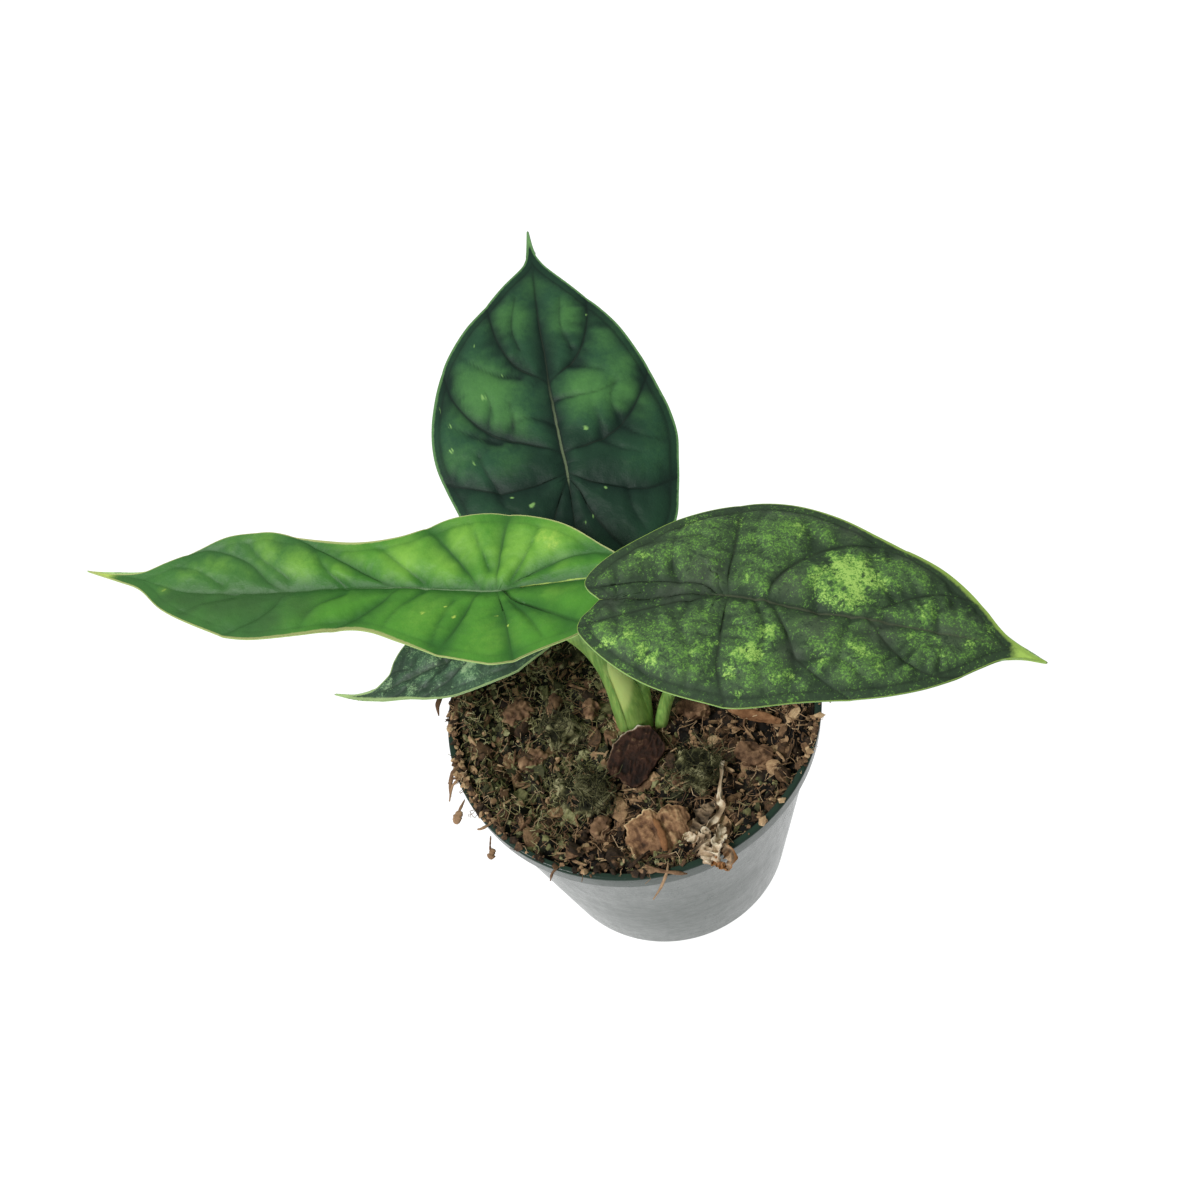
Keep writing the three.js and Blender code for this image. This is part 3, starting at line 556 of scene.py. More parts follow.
class Builder(Tree):
    """A Geometry Nodes tree with named inputs that ends in a plain mesh."""

    def __init__(self, name: str, **inputs: str) -> None:
        """Makes a tree with a geometry input and more.

        Args:
            name: Name of the tree.
            inputs: Socket kinds of its other inputs, by name.
        """
        group = bpy.data.node_groups.new(name, "GeometryNodeTree")
        super().__init__(group)
        for key, kind in {"Geometry": "Geometry", **inputs}.items():
            group.interface.new_socket(key, in_out="INPUT", socket_type=f"NodeSocket{kind}")
        group.interface.new_socket("Geometry", in_out="OUTPUT", socket_type="NodeSocketGeometry")
        self.entry = self.node("NodeGroupInput")

    def given(self, name: str) -> Value:
        """A named input of the tree."""
        return Value(self, self.entry.outputs[name])

    def make(self, kind: str, settings: Inputs | None = None, **inputs: Any) -> Value:
        """The first output of a geometry node, its inputs named with _ for spaces."""
        named = {key.replace("_", " "): value for key, value in inputs.items()}
        return self.value(f"GeometryNode{kind}", settings, named)

    def random(self, kind: str, low: Any, high: Any, seed: int) -> Value:
        """Random numbers or vectors, one for each element."""
        first, output = {"FLOAT_VECTOR": (0, 0), "FLOAT": (2, 1), "INT": (4, 2)}[kind]
        return self.value("FunctionNodeRandomValue", {"data_type": kind},
                          {first: low, first + 1: high, "Seed": seed}, output)

    def vary(self, shape: Value, shift: Place, scale: float, detail: float, reach: Any) -> Value:
        """Moves a shape's points by noise.

        Args:
            shape: The shape.
            shift: Which part of the noise it takes.
            scale: How fine the noise is.
            detail: How rough it is.
            reach: How far it moves a point.

        Returns:
            The variant.
        """
        place = self.vector("ADD", self.make("InputPosition"), shift)
        inputs = {"Vector": place, "Scale": scale, "Detail": detail}
        noise = self.value("ShaderNodeTexNoise", None, inputs, "Color")
        offset = self.scaled(self.vector("SUBTRACT", noise, (0.5, 0.5, 0.5)), reach)
        return self.make("SetPosition", Geometry=shape, Offset=offset)

    def spots(self) -> Value:
        """Random points on the given surface, as dense as its named weight says."""
        weight = self.make("InputNamedAttribute", {"data_type": "FLOAT"}, Name=self.given("Weight"))
        return self.make("DistributePointsOnFaces", Mesh=self.given("Geometry"),
                         Density=weight * self.given("Density"), Seed=self.given("Seed"))

    def strew(self, spots: Value, shapes: Sequence[Value], turn: Value, scale: Value, seed: int) -> None:
        """Ends the tree in one of several shapes on each point, each with its own tone.

        Args:
            spots: The points.
            shapes: The shapes.
            turn: Rotation at each point.
            scale: Size at each point.
            seed: Picks the shapes, and with 1 added the tones.
        """
        join = self.node("GeometryNodeGeometryToInstance")
        for shape in shapes:
            self.tree.links.new(shape.socket, join.inputs[0])
        placed = self.make("InstanceOnPoints", Points=spots, Instance=Value(self, join.outputs[0]),
                           Pick_Instance=True, Instance_Index=self.random("INT", 0, len(shapes) - 1, seed),
                           Rotation=turn, Scale=scale)
        self.finish(self.make("StoreNamedAttribute", {"data_type": "FLOAT", "domain": "INSTANCE"},
                              Geometry=placed, Name="tone", Value=self.random("FLOAT", 0.0, 1.0, seed + 1)))

    def finish(self, geometry: Value) -> None:
        """Ends the tree in real faces of the given material.

        Args:
            geometry: What it has made.
        """
        real = self.make("RealizeInstances", Geometry=geometry)
        dressed = self.make("SetMaterial", Geometry=real, Material=self.given("Material"))
        self.node("NodeGroupOutput", None, {0: dressed})

    def run(self, piece: Object, name: str, **numbers: Any) -> Object:
        """Runs the tree on a piece.

        Args:
            piece: What the tree starts from. It is used up.
            name: Name of the result.
            numbers: The tree's inputs by name.

        Returns:
            The plain mesh object that it makes.
        """
        modifier = piece.modifiers.new("build", "NODES")
        modifier.node_group = self.tree
        for item in self.tree.interface.items_tree:
            if item.in_out == "INPUT" and item.name in numbers:
                modifier[item.identifier] = numbers[item.name]
        return applied(piece, name)


def settle(piece: Object, material: Material, slot: str, *nodes: str) -> None:
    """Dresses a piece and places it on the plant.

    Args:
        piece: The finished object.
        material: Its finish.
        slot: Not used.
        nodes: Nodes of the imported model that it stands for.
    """
    piece.data.materials.clear()
    piece.data.materials.append(material)
    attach(piece, "root")
    if nodes:
        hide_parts(*nodes)
    triangles = sum(len(face.vertices) - 2 for face in piece.data.polygons)
    log.info("%s: %d triangles", piece.name, triangles)


# Blades


@dataclass(frozen=True)
class Rib:
    """A main vein that crosses a blade: its foot on the midrib and its way out on both sides."""

    foot: float
    left: Points
    right: Points


@dataclass(frozen=True)
class BladeFinish:
    """Colours of one blade, how much it is mottled, from where to where its midrib is pale, and its shine."""

    # deep is the colour of the holes in the flecks, and of the relief's valleys, where it is painted shade.
    deep: str
    middle: str
    light: str
    speckle: str
    vein: str
    grey: str
    midrib: str
    margin: str
    under: str
    tip: str
    mottle: float = 0.0
    far: str = "#000000"
    far_share: float = 0.0
    pale_rib: Place = (0.18, 0.8, 0.7)
    tip_from: float = 0.92
    dull: float = 0.46
    gloss: float = 0.35
    vein_depth: float = 0.85
    # Strength of a painted highlight along the veins' cores.
    vein_highlight: float = 0.0

    def mottled(self, s: Shader, base: Value, patch: Value, relief_shading: Value, dark: Value) -> Value:
        """Adds flecks like lichen: sparse on the panels, close together in the light patches.

        Args:
            s: The material's tree.
            base: Colour so far.
            patch: Where the light patches are.
            relief_shading: Where the panels stand up.
            dark: Where the dark patches are.

        Returns:
            The mottled colour.
        """
        net = s.noise(1.5, 6, 0.74, twist=1.0)
        fine = s.noise(0.55, 3, 0.8, s.shifted(31, 7, 3), 0.6)
        islands = s.noise(4.2, 3, 0.6, s.shifted(9, 2, 5)) - 0.5
        # Flecks are sparser in the valleys, as along the real ribs, which deepens the painted shade there.
        thick = patch * 0.09 + islands * 0.24 + relief_shading * 0.065 - dark * 0.04 - 0.052
        soft = (net * 0.75 + fine * 0.25 + thick).step(0.44, 0.66)
        green = (net * 0.4 + fine * 0.6 + thick).step(0.525, 0.57)
        pale = (net * 0.3 + fine * 0.7 + thick + patch * 0.02).step(0.575, 0.64)
        hole = (net + islands * 0.4).step(0.43, 0.39)
        base = s.mix(soft * self.mottle * 0.24, base, self.light)
        base = s.mix(green * self.mottle * 0.78, base, self.light)
        base = s.mix(pale * self.mottle * (patch * 0.7 + 0.15), base, self.speckle)
        return s.mix(hole * self.mottle * 0.8, base, self.deep)

    def material(self, name: str) -> Material:
        """Builds the blade's leathery surface.

        Args:
            name: Name of the material.

        Returns:
            The material.
        """
        s = Shader(name)
        vein, fine, midrib, margin, along, light, dark, speck, under, relief, wrinkle = map(s.attribute, (
            "vein", "fine", "midrib", "rim", "along", "light", "dark", "speck", "under", "relief", "wrinkle"))
        lumps = s.noise(5, 3, 0.6) - 0.5
        tissue = s.noise(1.3, 4, 0.65) - 0.5
        # Painted shade: the relief's valleys take the deep colour and the panels' tops the middle one, with
        # the wrinkles' crests counted a little higher.
        relief_shading = (relief + wrinkle * 0.12).step(0.0, 0.95)
        base = s.mix(relief_shading, self.deep, self.middle)
        base = s.mix(along.step(0.48, 0.62) * self.far_share, base, self.far)
        if self.mottle > 0:
            patch = (light + (s.noise(4.5, 6, 0.7) - 0.5) * 3).step(0.35, 0.85)
        else:
            patch = (light + lumps * 0.3 + tissue * 0.2).step(0.0, 1.1)
        # The pale patches and random tone are the leaf's own; the wrinkle term is painted light on their
        # crests, and the pale colour stays out of the painted valley shade.
        pale_and_crest_light = patch * 0.75 + lumps * 0.25 + tissue * 0.25 + wrinkle * 0.12
        base = s.mix(pale_and_crest_light * relief_shading, base, self.light)
        dark = (dark + lumps * 0.4).step(0.1, 1.0)
        base = s.mix(dark * (0.75 - 0.25 * self.mottle), base, self.grey)
        if self.mottle > 0:
            base = self.mottled(s, base, patch, relief_shading, dark)
        base = s.mix((speck + tissue * 0.8).step(0.2, 0.9) * 0.85, base, self.speckle)
        line = (vein * self.vein_depth).math("MAXIMUM", fine * self.vein_depth * 0.6)
        # Painted shade: the troughs of the wrinkles take the vein colour.
        line = line.math("MAXIMUM", wrinkle.step(-0.1, -0.9) * 0.25)
        base = s.mix(line, base, self.vein)
        # Painted highlight: a thin pale line along the cores of the veins.
        base = s.mix(vein.step(0.6, 0.95) * self.vein_highlight, base, self.midrib)
        start, end, strength = self.pale_rib
        rib = (midrib + tissue * 0.4).step(0.55, 0.2) * along.step(start - 0.03, start)
        base = s.mix(rib * along.step(end, end - 0.2) * strength, base, self.midrib)
        tip = (along + tissue * 0.03).step(self.tip_from, self.tip_from + 0.03)
        base = s.mix(tip, base, self.tip)
        base = s.mix((margin + tissue * 0.5).step(0.3, 0.7) * 0.85, base, self.margin)
        base = s.mix(under, base, s.mix(vein * 0.6, self.under, self.margin))
        skin = s.cells(0.55) * 0.5 + s.noise(0.5, 2) * 0.6
        bumps = s.bump(skin, 0.04, s.bump(s.noise(2.2, 3, 0.55), 0.2))
        roughness = self.dull + tissue * 0.22 + vein * 0.15
        return s.finish(base, roughness, bumps, Specular_IOR_Level=self.gloss)


@dataclass(frozen=True)
class Blade:
    """One leaf blade, drawn flat in millimetres forward of the stalk's joint and to its left, then bent.

    Heading and pitch aim the tip, arch bends it down along its length, fold raises both sides from the
    midrib and curl turns the margins down. Left and right are the margins between the midrib's ends.
    Steps are the rows of facets between ribs. Veins are the finer ones, and light, dark and specks are
    round patches: forward, left, radius and strength. Rim is how wide the pale margin is on the left and
    right at shares of the length, and border how deep the vein along it lies. Quilt is how far the panels
    stand over the ribs, and crinkle how wrinkled they are.
    """

    name: str
    joint: Place
    heading: float
    pitch: float
    arch: float
    fold: float
    curl: float
    steps: tuple[int, ...]
    midrib: Points
    left: Points
    right: Points
    ribs: tuple[Rib, ...]
    finish: BladeFinish
    veins: tuple[Points, ...] = ()
    light: Points = ()
    dark: Points = ()
    specks: Points = ()
    streaks: tuple[Points, ...] = ()
    rim: Points = ((0, 0.3, 0.3), (1, 0.3, 0.3))
    border: float = 1.0
    quilt: float = 1.5
    crinkle: float = 0.8
    fineness: int = 6
    columns: int = 42

    THICKNESS = 1.0
    EDGE_THICKNESS = 0.55
    EDGE_TAPER = 4.0
    RIB_WIDTH = 2.3
    MIDRIB_WIDTH = 2.4
    RIB_DEPTH = 0.8
    BORDER_INSET = 2.4
    BORDER_WIDTH = 1.2
    BORDER_DEPTH = 0.6
    BORDER_LINE = 0.35
    CREASE = 1.5
    CREASE_WIDTH = 0.8
    CREASE_DEPTH = 0.1
    FINE_WIDTH = 1.2
    FINE_DEPTH = 0.4
    FINE_LINE = 0.3
    VEIN_LINE = 0.45
    MIDRIB_LINE = 0.42
    STREAK_LINE = 0.22
    WRINKLE = 0.3
    RIM_STEPS = 3

    def frame(self, length: Array) -> tuple[Array, Array, Array]:
        """Follows the bent midrib.

        Args:
            length: Lengths forward of the joint.

        Returns:
            Where the midrib is there, and the blade's sideways and upward axes.
        """
        heading = math.radians(self.heading)
        bend = math.radians(self.arch) / 100
        start = math.radians(self.pitch)
        here = start - bend * np.asarray(length)
        out = np.array([math.cos(heading), math.sin(heading), 0])
        side = np.array([-math.sin(heading), math.cos(heading), 0])
        reach = (math.sin(start) - np.sin(here)) / bend
        rise = (np.cos(here) - math.cos(start)) / bend
        upright = np.array([0, 0, 1])
        middle = np.array(self.joint) + reach[..., None] * out + rise[..., None] * upright
        up = -np.sin(here)[..., None] * out + np.cos(here)[..., None] * upright
        return middle, side, up

    def half(self, side: str, spine: Line, margin: Line) -> Array:
        """Spreads points over one half of the flat blade.

        Args:
            side: left or right.
            spine: The midrib.
            margin: The half's margin.

        Returns:
            Rows from the notch to the tip, each from the midrib outwards.
        """
        shares = 1 - (1 - np.linspace(0, 1, self.columns + 1)) ** 1.3
        stops: list[tuple[float, Array, float]] = [(0.0, np.repeat(spine.at(0.0)[None], len(shares), 0), 0.0)]
        for rib in self.ribs:
            foot_length = spine.reaching(rib.foot)
            path = [spine.at(foot_length), *np.array(getattr(rib, side), float)]
            end_length = margin.near(path[-1])
            path[-1] = margin.at(end_length)
            way = Line(path)
            stops.append((foot_length, way.at(shares * way.total), end_length))
        stops.append((spine.total, np.repeat(spine.at(spine.total)[None], len(shares), 0), margin.total))
        rows = []
        c = shares[None, :, None]
        for part, (near, far) in enumerate(zip(stops, stops[1:])):
            count = self.steps[part] * self.fineness
            f = (np.arange(1 if part == 0 else 0, count) / count)[:, None, None]
            foot = spine.at((near[0] + (far[0] - near[0]) * f)[:, 0, 0])[:, None]
            end = margin.at((near[2] + (far[2] - near[2]) * f)[:, 0, 0])[:, None]
            plain = near[1][None] * (1 - f) + far[1][None] * f
            rows.append(plain + (foot - plain[:, :1]) * (1 - c) + (end - plain[:, -1:]) * c)
        return np.concatenate(rows)

    def relief(self, flat: Array, spine: Line, margins: tuple[Line, Line]) -> dict[str, Array]:
        """Measures the quilted relief.

        Args:
            flat: Points of the flat blade.
            spine: The midrib.
            margins: The two margins.

        Returns:
            Height in millimetres, and the numbers that the finish reads, by name.
        """
        def valley(distance: Array, width: float, depth: Array | float) -> Array:
            """A sharp groove in a broad dip."""
            near = distance / width
            return 1 - depth * (0.6 * bell(near, 1, 1.15) + 0.4 * bell(near, 2.6))

        insets = [margin.distance(flat)[0] for margin in margins]
        inset = np.minimum(*insets)
        middle, along = spine.distance(flat)
        height = valley(middle, self.MIDRIB_WIDTH, 1 - 0.6 * ramp(along, 0.5, 0.85))
        crease = bell(middle, self.CREASE_WIDTH) * ramp(along, 1, 0.6)
        vein, nearest = np.zeros(len(flat)), np.full(len(flat), 1e9)
        ripple = np.zeros((len(flat), 3))
        for number, rib in enumerate(self.ribs):
            foot = spine.at(spine.reaching(rib.foot))
            for path in (rib.left, rib.right):
                line = Line([foot, *path])
                away, share = line.distance(flat)
                depth = self.RIB_DEPTH * (0.5 + 0.5 * ramp(share * line.total, 1, 8))
                height = np.minimum(height, valley(away, self.RIB_WIDTH, depth))
                crease = np.maximum(crease, bell(away, self.CREASE_WIDTH) * (1 - 0.5 * share))
                fade = (1 - 0.35 * share) * (0.4 + 0.6 * ramp(share * line.total, 1, 7))
                vein = np.maximum(vein, bell(away, self.VEIN_LINE - 0.12 * share) * fade)
                closer = away < nearest
                nearest = np.where(closer, away, nearest)
                waves = np.stack([share * line.total / 1.5, away / 9, 0 * away + number * 7], axis=1)
                ripple[closer] = waves[closer]
        wrinkle = (value_noise(ripple, 3) + 0.5 * value_noise(ripple * 2.1, 8)) * ramp(nearest, 0.3, 1.4)
        wrinkle *= ramp(nearest, 10, 3.5) * ramp(inset, 1, 4) * self.crinkle
        off_border = np.abs(inset - self.BORDER_INSET)
        height *= valley(off_border, self.BORDER_WIDTH, self.BORDER_DEPTH * self.border)
        edge_line = bell(off_border, self.BORDER_LINE) * 0.6 * self.border
        height *= 1 - 0.65 * self.border * ramp(inset, self.BORDER_INSET * 2.5, 0)
        fine = np.zeros(len(flat))
        for path in self.veins:
            away, share = Line(path, 4).distance(flat)
            fade = 1 - 0.5 * share
            height -= self.FINE_DEPTH * bell(away, self.FINE_WIDTH) * fade * ramp(inset, 0.5, 3)
            fine = np.maximum(fine, bell(away, self.FINE_LINE) * fade)
        streak = np.zeros(len(flat))
        for path in self.streaks:
            away, share = Line(path, 4).distance(flat)
            streak = np.maximum(streak, 0.8 * bell(away, self.STREAK_LINE) * ramp(1 - share, 0, 0.2))
        level = np.column_stack([flat, np.zeros(len(flat))])
        height += 0.13 * rough(level, 4.5, 3, len(self.name)) * ramp(inset, 0.3, 3) + self.WRINKLE * wrinkle
        height -= self.CREASE_DEPTH * crease
        core = bell(middle, self.MIDRIB_LINE) * ramp(along, 1, 0.6)
        shares, *widths = np.array(self.rim, float).T
        rim = [1 - near / np.interp(along, shares, width) / 2 for near, width in zip(insets, widths)]
        return {
            "height": self.quilt * height,
            "relief": height,
            "wrinkle": wrinkle,
            "vein": np.maximum(np.maximum(vein, edge_line), core),
            "fine": fine,
            "midrib": middle,
            "inset": inset,
            "rim": np.maximum(*rim).clip(0, 1),
            "along": along,
            "speck": np.maximum(self.patches(flat, self.specks, 4.0), streak),
            "light": self.patches(flat, self.light, 2.2),
            "dark": self.patches(flat, self.dark, 2.0),
        }

    @staticmethod
    def patches(flat: Array, marks: Points, sharp: float) -> Array:
        """Spreads round patches over the blade.

        Args:
            flat: Points of the flat blade.
            marks: Forward, left, radius and strength of each patch.
            sharp: How sharp their rims are.

        Returns:
            Strength at each point.
        """
        total = np.zeros(len(flat))
        for forward, left, radius, *strength in marks:
            away = np.linalg.norm(flat - (forward, left), axis=1)
            total = np.maximum(total, bell(away, radius, sharp) * (strength[0] if strength else 1))
        return total

    def bent(self, flat: Array, spine: Line, height: Array) -> Array:
        """Bends the flat blade to its place.

        Args:
            flat: Points of the flat blade.
            spine: The midrib.
            height: Height of the relief at each point.

        Returns:
            Places in space on the middle of the blade's thickness.
        """
        middle, side, up = self.frame(flat[:, 0])
        away = np.abs(flat[:, 1] - np.interp(flat[:, 0], spine.points[:, 0], spine.points[:, 1]))
        lift = self.fold * (np.hypot(away, self.CREASE) - self.CREASE) - self.curl * away**2
        return middle + side * flat[:, 1:] + up * (lift + height)[:, None]

    def build(self) -> None:
        """Makes the closed blade: two like faces, joined by a rounded rim."""
        start, end = self.midrib[0], self.midrib[-1]
        spine, left_margin, right_margin = (
            Line(knots) for knots in (self.midrib, [start, *self.left, end], [start, *self.right, end])
        )
        left = self.half("left", spine, left_margin)
        right = self.half("right", spine, right_margin)
        rows = np.concatenate([right[:, :0:-1], left], axis=1)
        count, width, _ = rows.shape
        flat = np.vstack([spine.at(0.0)[None], rows.reshape(-1, 2), spine.at(spine.total)[None]])
        tip = len(flat) - 1
        at = 1 + np.arange(count * width).reshape(count, width)
        corner, ahead = at[:-1, :-1], at[1:, :-1]
        quads = np.stack([corner, ahead, ahead + 1, corner + 1], axis=-1).reshape(-1, 4)
        caps = [[0, a, b] for a, b in zip(at[0, :-1], at[0, 1:])]
        caps += [[a, tip, b] for a, b in zip(at[-1, :-1], at[-1, 1:])]
        triangles = np.vstack([quads[:, :3], quads[:, [0, 2, 3]], caps])
        seen = self.relief(flat, spine, (left_margin, right_margin))
        bent = self.bent(flat, spine, seen.pop("height"))
        normals = vertex_normals(bent, triangles)
        thick = self.THICKNESS - self.EDGE_THICKNESS
        thick = self.EDGE_THICKNESS + thick * ramp(seen["inset"], 0, self.EDGE_TAPER)
        half = normals * thick[:, None] / 2
        rim = np.concatenate([[0], at[:, -1], [tip], at[::-1, 0]])
        tangent = unit(np.roll(bent[rim], -1, 0) - np.roll(bent[rim], 1, 0))
        outward = np.cross(tangent, normals[rim])
        layers = [bent + half, bent - half]
        for step in range(1, self.RIM_STEPS + 1):
            angle = math.pi / 2 - math.pi * step / (self.RIM_STEPS + 1)
            reach = thick[rim][:, None] / 2
            layers.append(bent[rim] + (normals[rim] * math.sin(angle) + outward * math.cos(angle)) * reach)
        size = len(flat)
        faces = quads.tolist() + caps
        faces += [[size + i for i in face[::-1]] for face in faces]
        edge = 2 * size + np.arange(len(rim) * self.RIM_STEPS).reshape(self.RIM_STEPS, -1)
        chains = [rim, *edge, size + rim]
        for upper, lower in zip(chains, chains[1:]):
            faces += np.stack([lower, np.roll(lower, -1), np.roll(upper, -1), upper], axis=1).tolist()
        source = np.concatenate([np.arange(size), np.arange(size), np.tile(rim, self.RIM_STEPS)])
        values = {key: data[source] for key, data in seen.items()}
        values["under"] = np.concatenate([np.zeros(size), np.ones(size), np.zeros(edge.size)])
        piece = make_mesh(f"{self.name}_leaf", np.vstack(layers), faces, **values)
        slot = f"blade_{self.name}"
        settle(piece, self.finish.material(slot), slot, slot)


RIGHT_BLADE = Blade(
    name="right", joint=(28.2, -22.7, 163), heading=-28.2, pitch=-4, arch=12, fold=0.1, curl=0.0055,
    quilt=2.1, crinkle=0.9, steps=(3, 8, 4, 6, 10),
    midrib=[(-29.2, -6.3), (-18, -4.2), (-8, -1.2), (0, 0), (9, 0.2), (18, -0.3), (34, 0.4), (50, 0.4),
        (62, 1.2), (68, 1.5), (75.5, 0)],
    left=[(-32.4, -4.5), (-33.8, -1.6), (-30, 5.2), (-22, 13.6), (-15.5, 19.4), (-6.5, 24.6), (2.6, 28.1),
        (12.4, 29.3), (22.4, 27.8), (32.7, 24.1), (43, 20.5), (50.5, 17), (58.3, 11.3), (63.7, 5.7),
        (69, 2.3)],
    right=[(-30.5, -9.7), (-32.2, -13), (-31.6, -16.6), (-25, -21.7), (-17, -25.5), (-9.5, -27.4),
        (0, -28.2), (9.5, -28), (22.5, -24), (31, -21.5), (40, -18.7), (48, -15), (54.5, -10.8),
        (60.6, -5.9), (65, -2.5), (69.4, -0.7)],
    ribs=(
        Rib(-1.5, [(-6.5, 1.6), (-18, 0.2), (-25, -1.8), (-32.7, -3.9)], [(-5.5, -2.4), (-12, -4.9),
            (-25, -11.5), (-32.2, -14.8)]),
        Rib(0.2, [(-0.3, 5), (-0.4, 12), (-1.2, 20.5), (-1.5, 26.6)], [(0.9, -5), (1.5, -13), (2.3, -20),
            (5.6, -28.2)]),
        Rib(9.2, [(10.8, 5.9), (16.5, 13.5), (26, 19.6), (39, 22)], [(12.5, -2.5), (16, -7.5), (20.7, -14.7),
            (33, -20.8)]),
        Rib(34, [(36, 3.4), (44.5, 9.3), (54.5, 11.6), (59.5, 10.2)], [(37.3, -4), (45, -9.3), (51, -10.6),
            (57, -9)]),
    ),
    veins=([(19, -13.7), (25, -12.5), (30, -12), (34.5, -15), (40, -16.7)], [(-9, 14.8), (-17, 11.8),
        (-26, 10)], [(17.5, 17.4), (15, 22.6), (12.3, 27)], [(-13.7, -19), (-15, -23), (-10.6, -27)],
        [(39, 6.8), (36, 9.5), (31.5, 17), (31, 21.4)], [(43.7, -8), (47.7, -4), (55.6, -2.5)], [(30, -0.8),
        (28.8, -6), (29, -12.8)], [(-7.7, -3.4), (-8.2, -11.4), (-4.2, -18.5), (-4, -26)], [(-11.3, 1.7),
        (-14.5, 7.3), (-14.7, 16.3)], [(7, 0), (11, -7.5), (11.6, -18), (14.5, -24.3)], [(7, 11.5),
        (3.7, 16.8), (4.5, 25.2)], [(22, 0), (20, 7), (24, 14)], [(50, 0.5), (49, 5), (52, 9)]),
    light=[(27.9, 9.5, 9.5), (24, 4, 4, 0.8), (9.5, -14.5, 4.5, 0.95), (12, -8.6, 3.4, 0.55),
        (11, -11.5, 3.5, 0.75), (5.5, -19.5, 3.4, 0.8), (-14.2, -21.6, 7, 0.55), (-21.5, -16.4, 7, 0.55),
        (-2.2, -16.9, 5.5, 0.45), (15.9, -19.8, 2.6, 0.6), (20.3, -18.9, 2.4, 0.6), (33, -9.2, 4, 0.6),
        (37, -13, 3, 0.6), (24.6, -11.2, 3, 0.6), (43.5, -2.4, 3, 0.5), (46.4, 4.6, 3.2, 0.5),
        (59, -1, 4.5, 0.6), (52.4, -4.7, 3, 0.6), (55.5, 10.9, 3, 0.4), (60.3, 5.3, 2.6, 0.4),
        (-12.6, 18.3, 5, 0.45), (-0.8, 23, 4.4, 0.35), (10.4, 19.9, 7, 0.4), (-22, 5.5, 4, 0.35),
        (7.4, -23.8, 4, 0.35), (16.6, 26.3, 3.6, 0.3), (46.7, -12.4, 2.6, 0.6), (3.7, 5.1, 1.5, 0.5)],
    dark=[(14.3, 5.9, 4.5), (-5.8, 4.6, 5.5), (22.3, -4.9, 5), (37, -2.7, 5), (18, -12.7, 3.6),
        (52.9, 0.2, 4.5), (25.6, 23.5, 3.4), (-26, -7.6, 3), (-12, -2, 4)],
    rim=((0, 0.12, 0.08), (0.3, 0.16, 0.08), (0.55, 0.5, 0.1), (0.75, 1.0, 0.12), (0.9, 0.9, 0.2),
        (1, 0.8, 0.4)),
    finish=BladeFinish(deep="#30402e", middle="#455c3b", light="#62903f", speckle="#a0c463", vein="#20291f",
        grey="#464e42", midrib="#60664e", margin="#8dab50", under="#8fae7c", tip="#a8ca60", mottle=1.0,
        pale_rib=(0.27, 0.95, 0.3), tip_from=0.91, dull=0.6, gloss=0.14, vein_highlight=0.12),
)

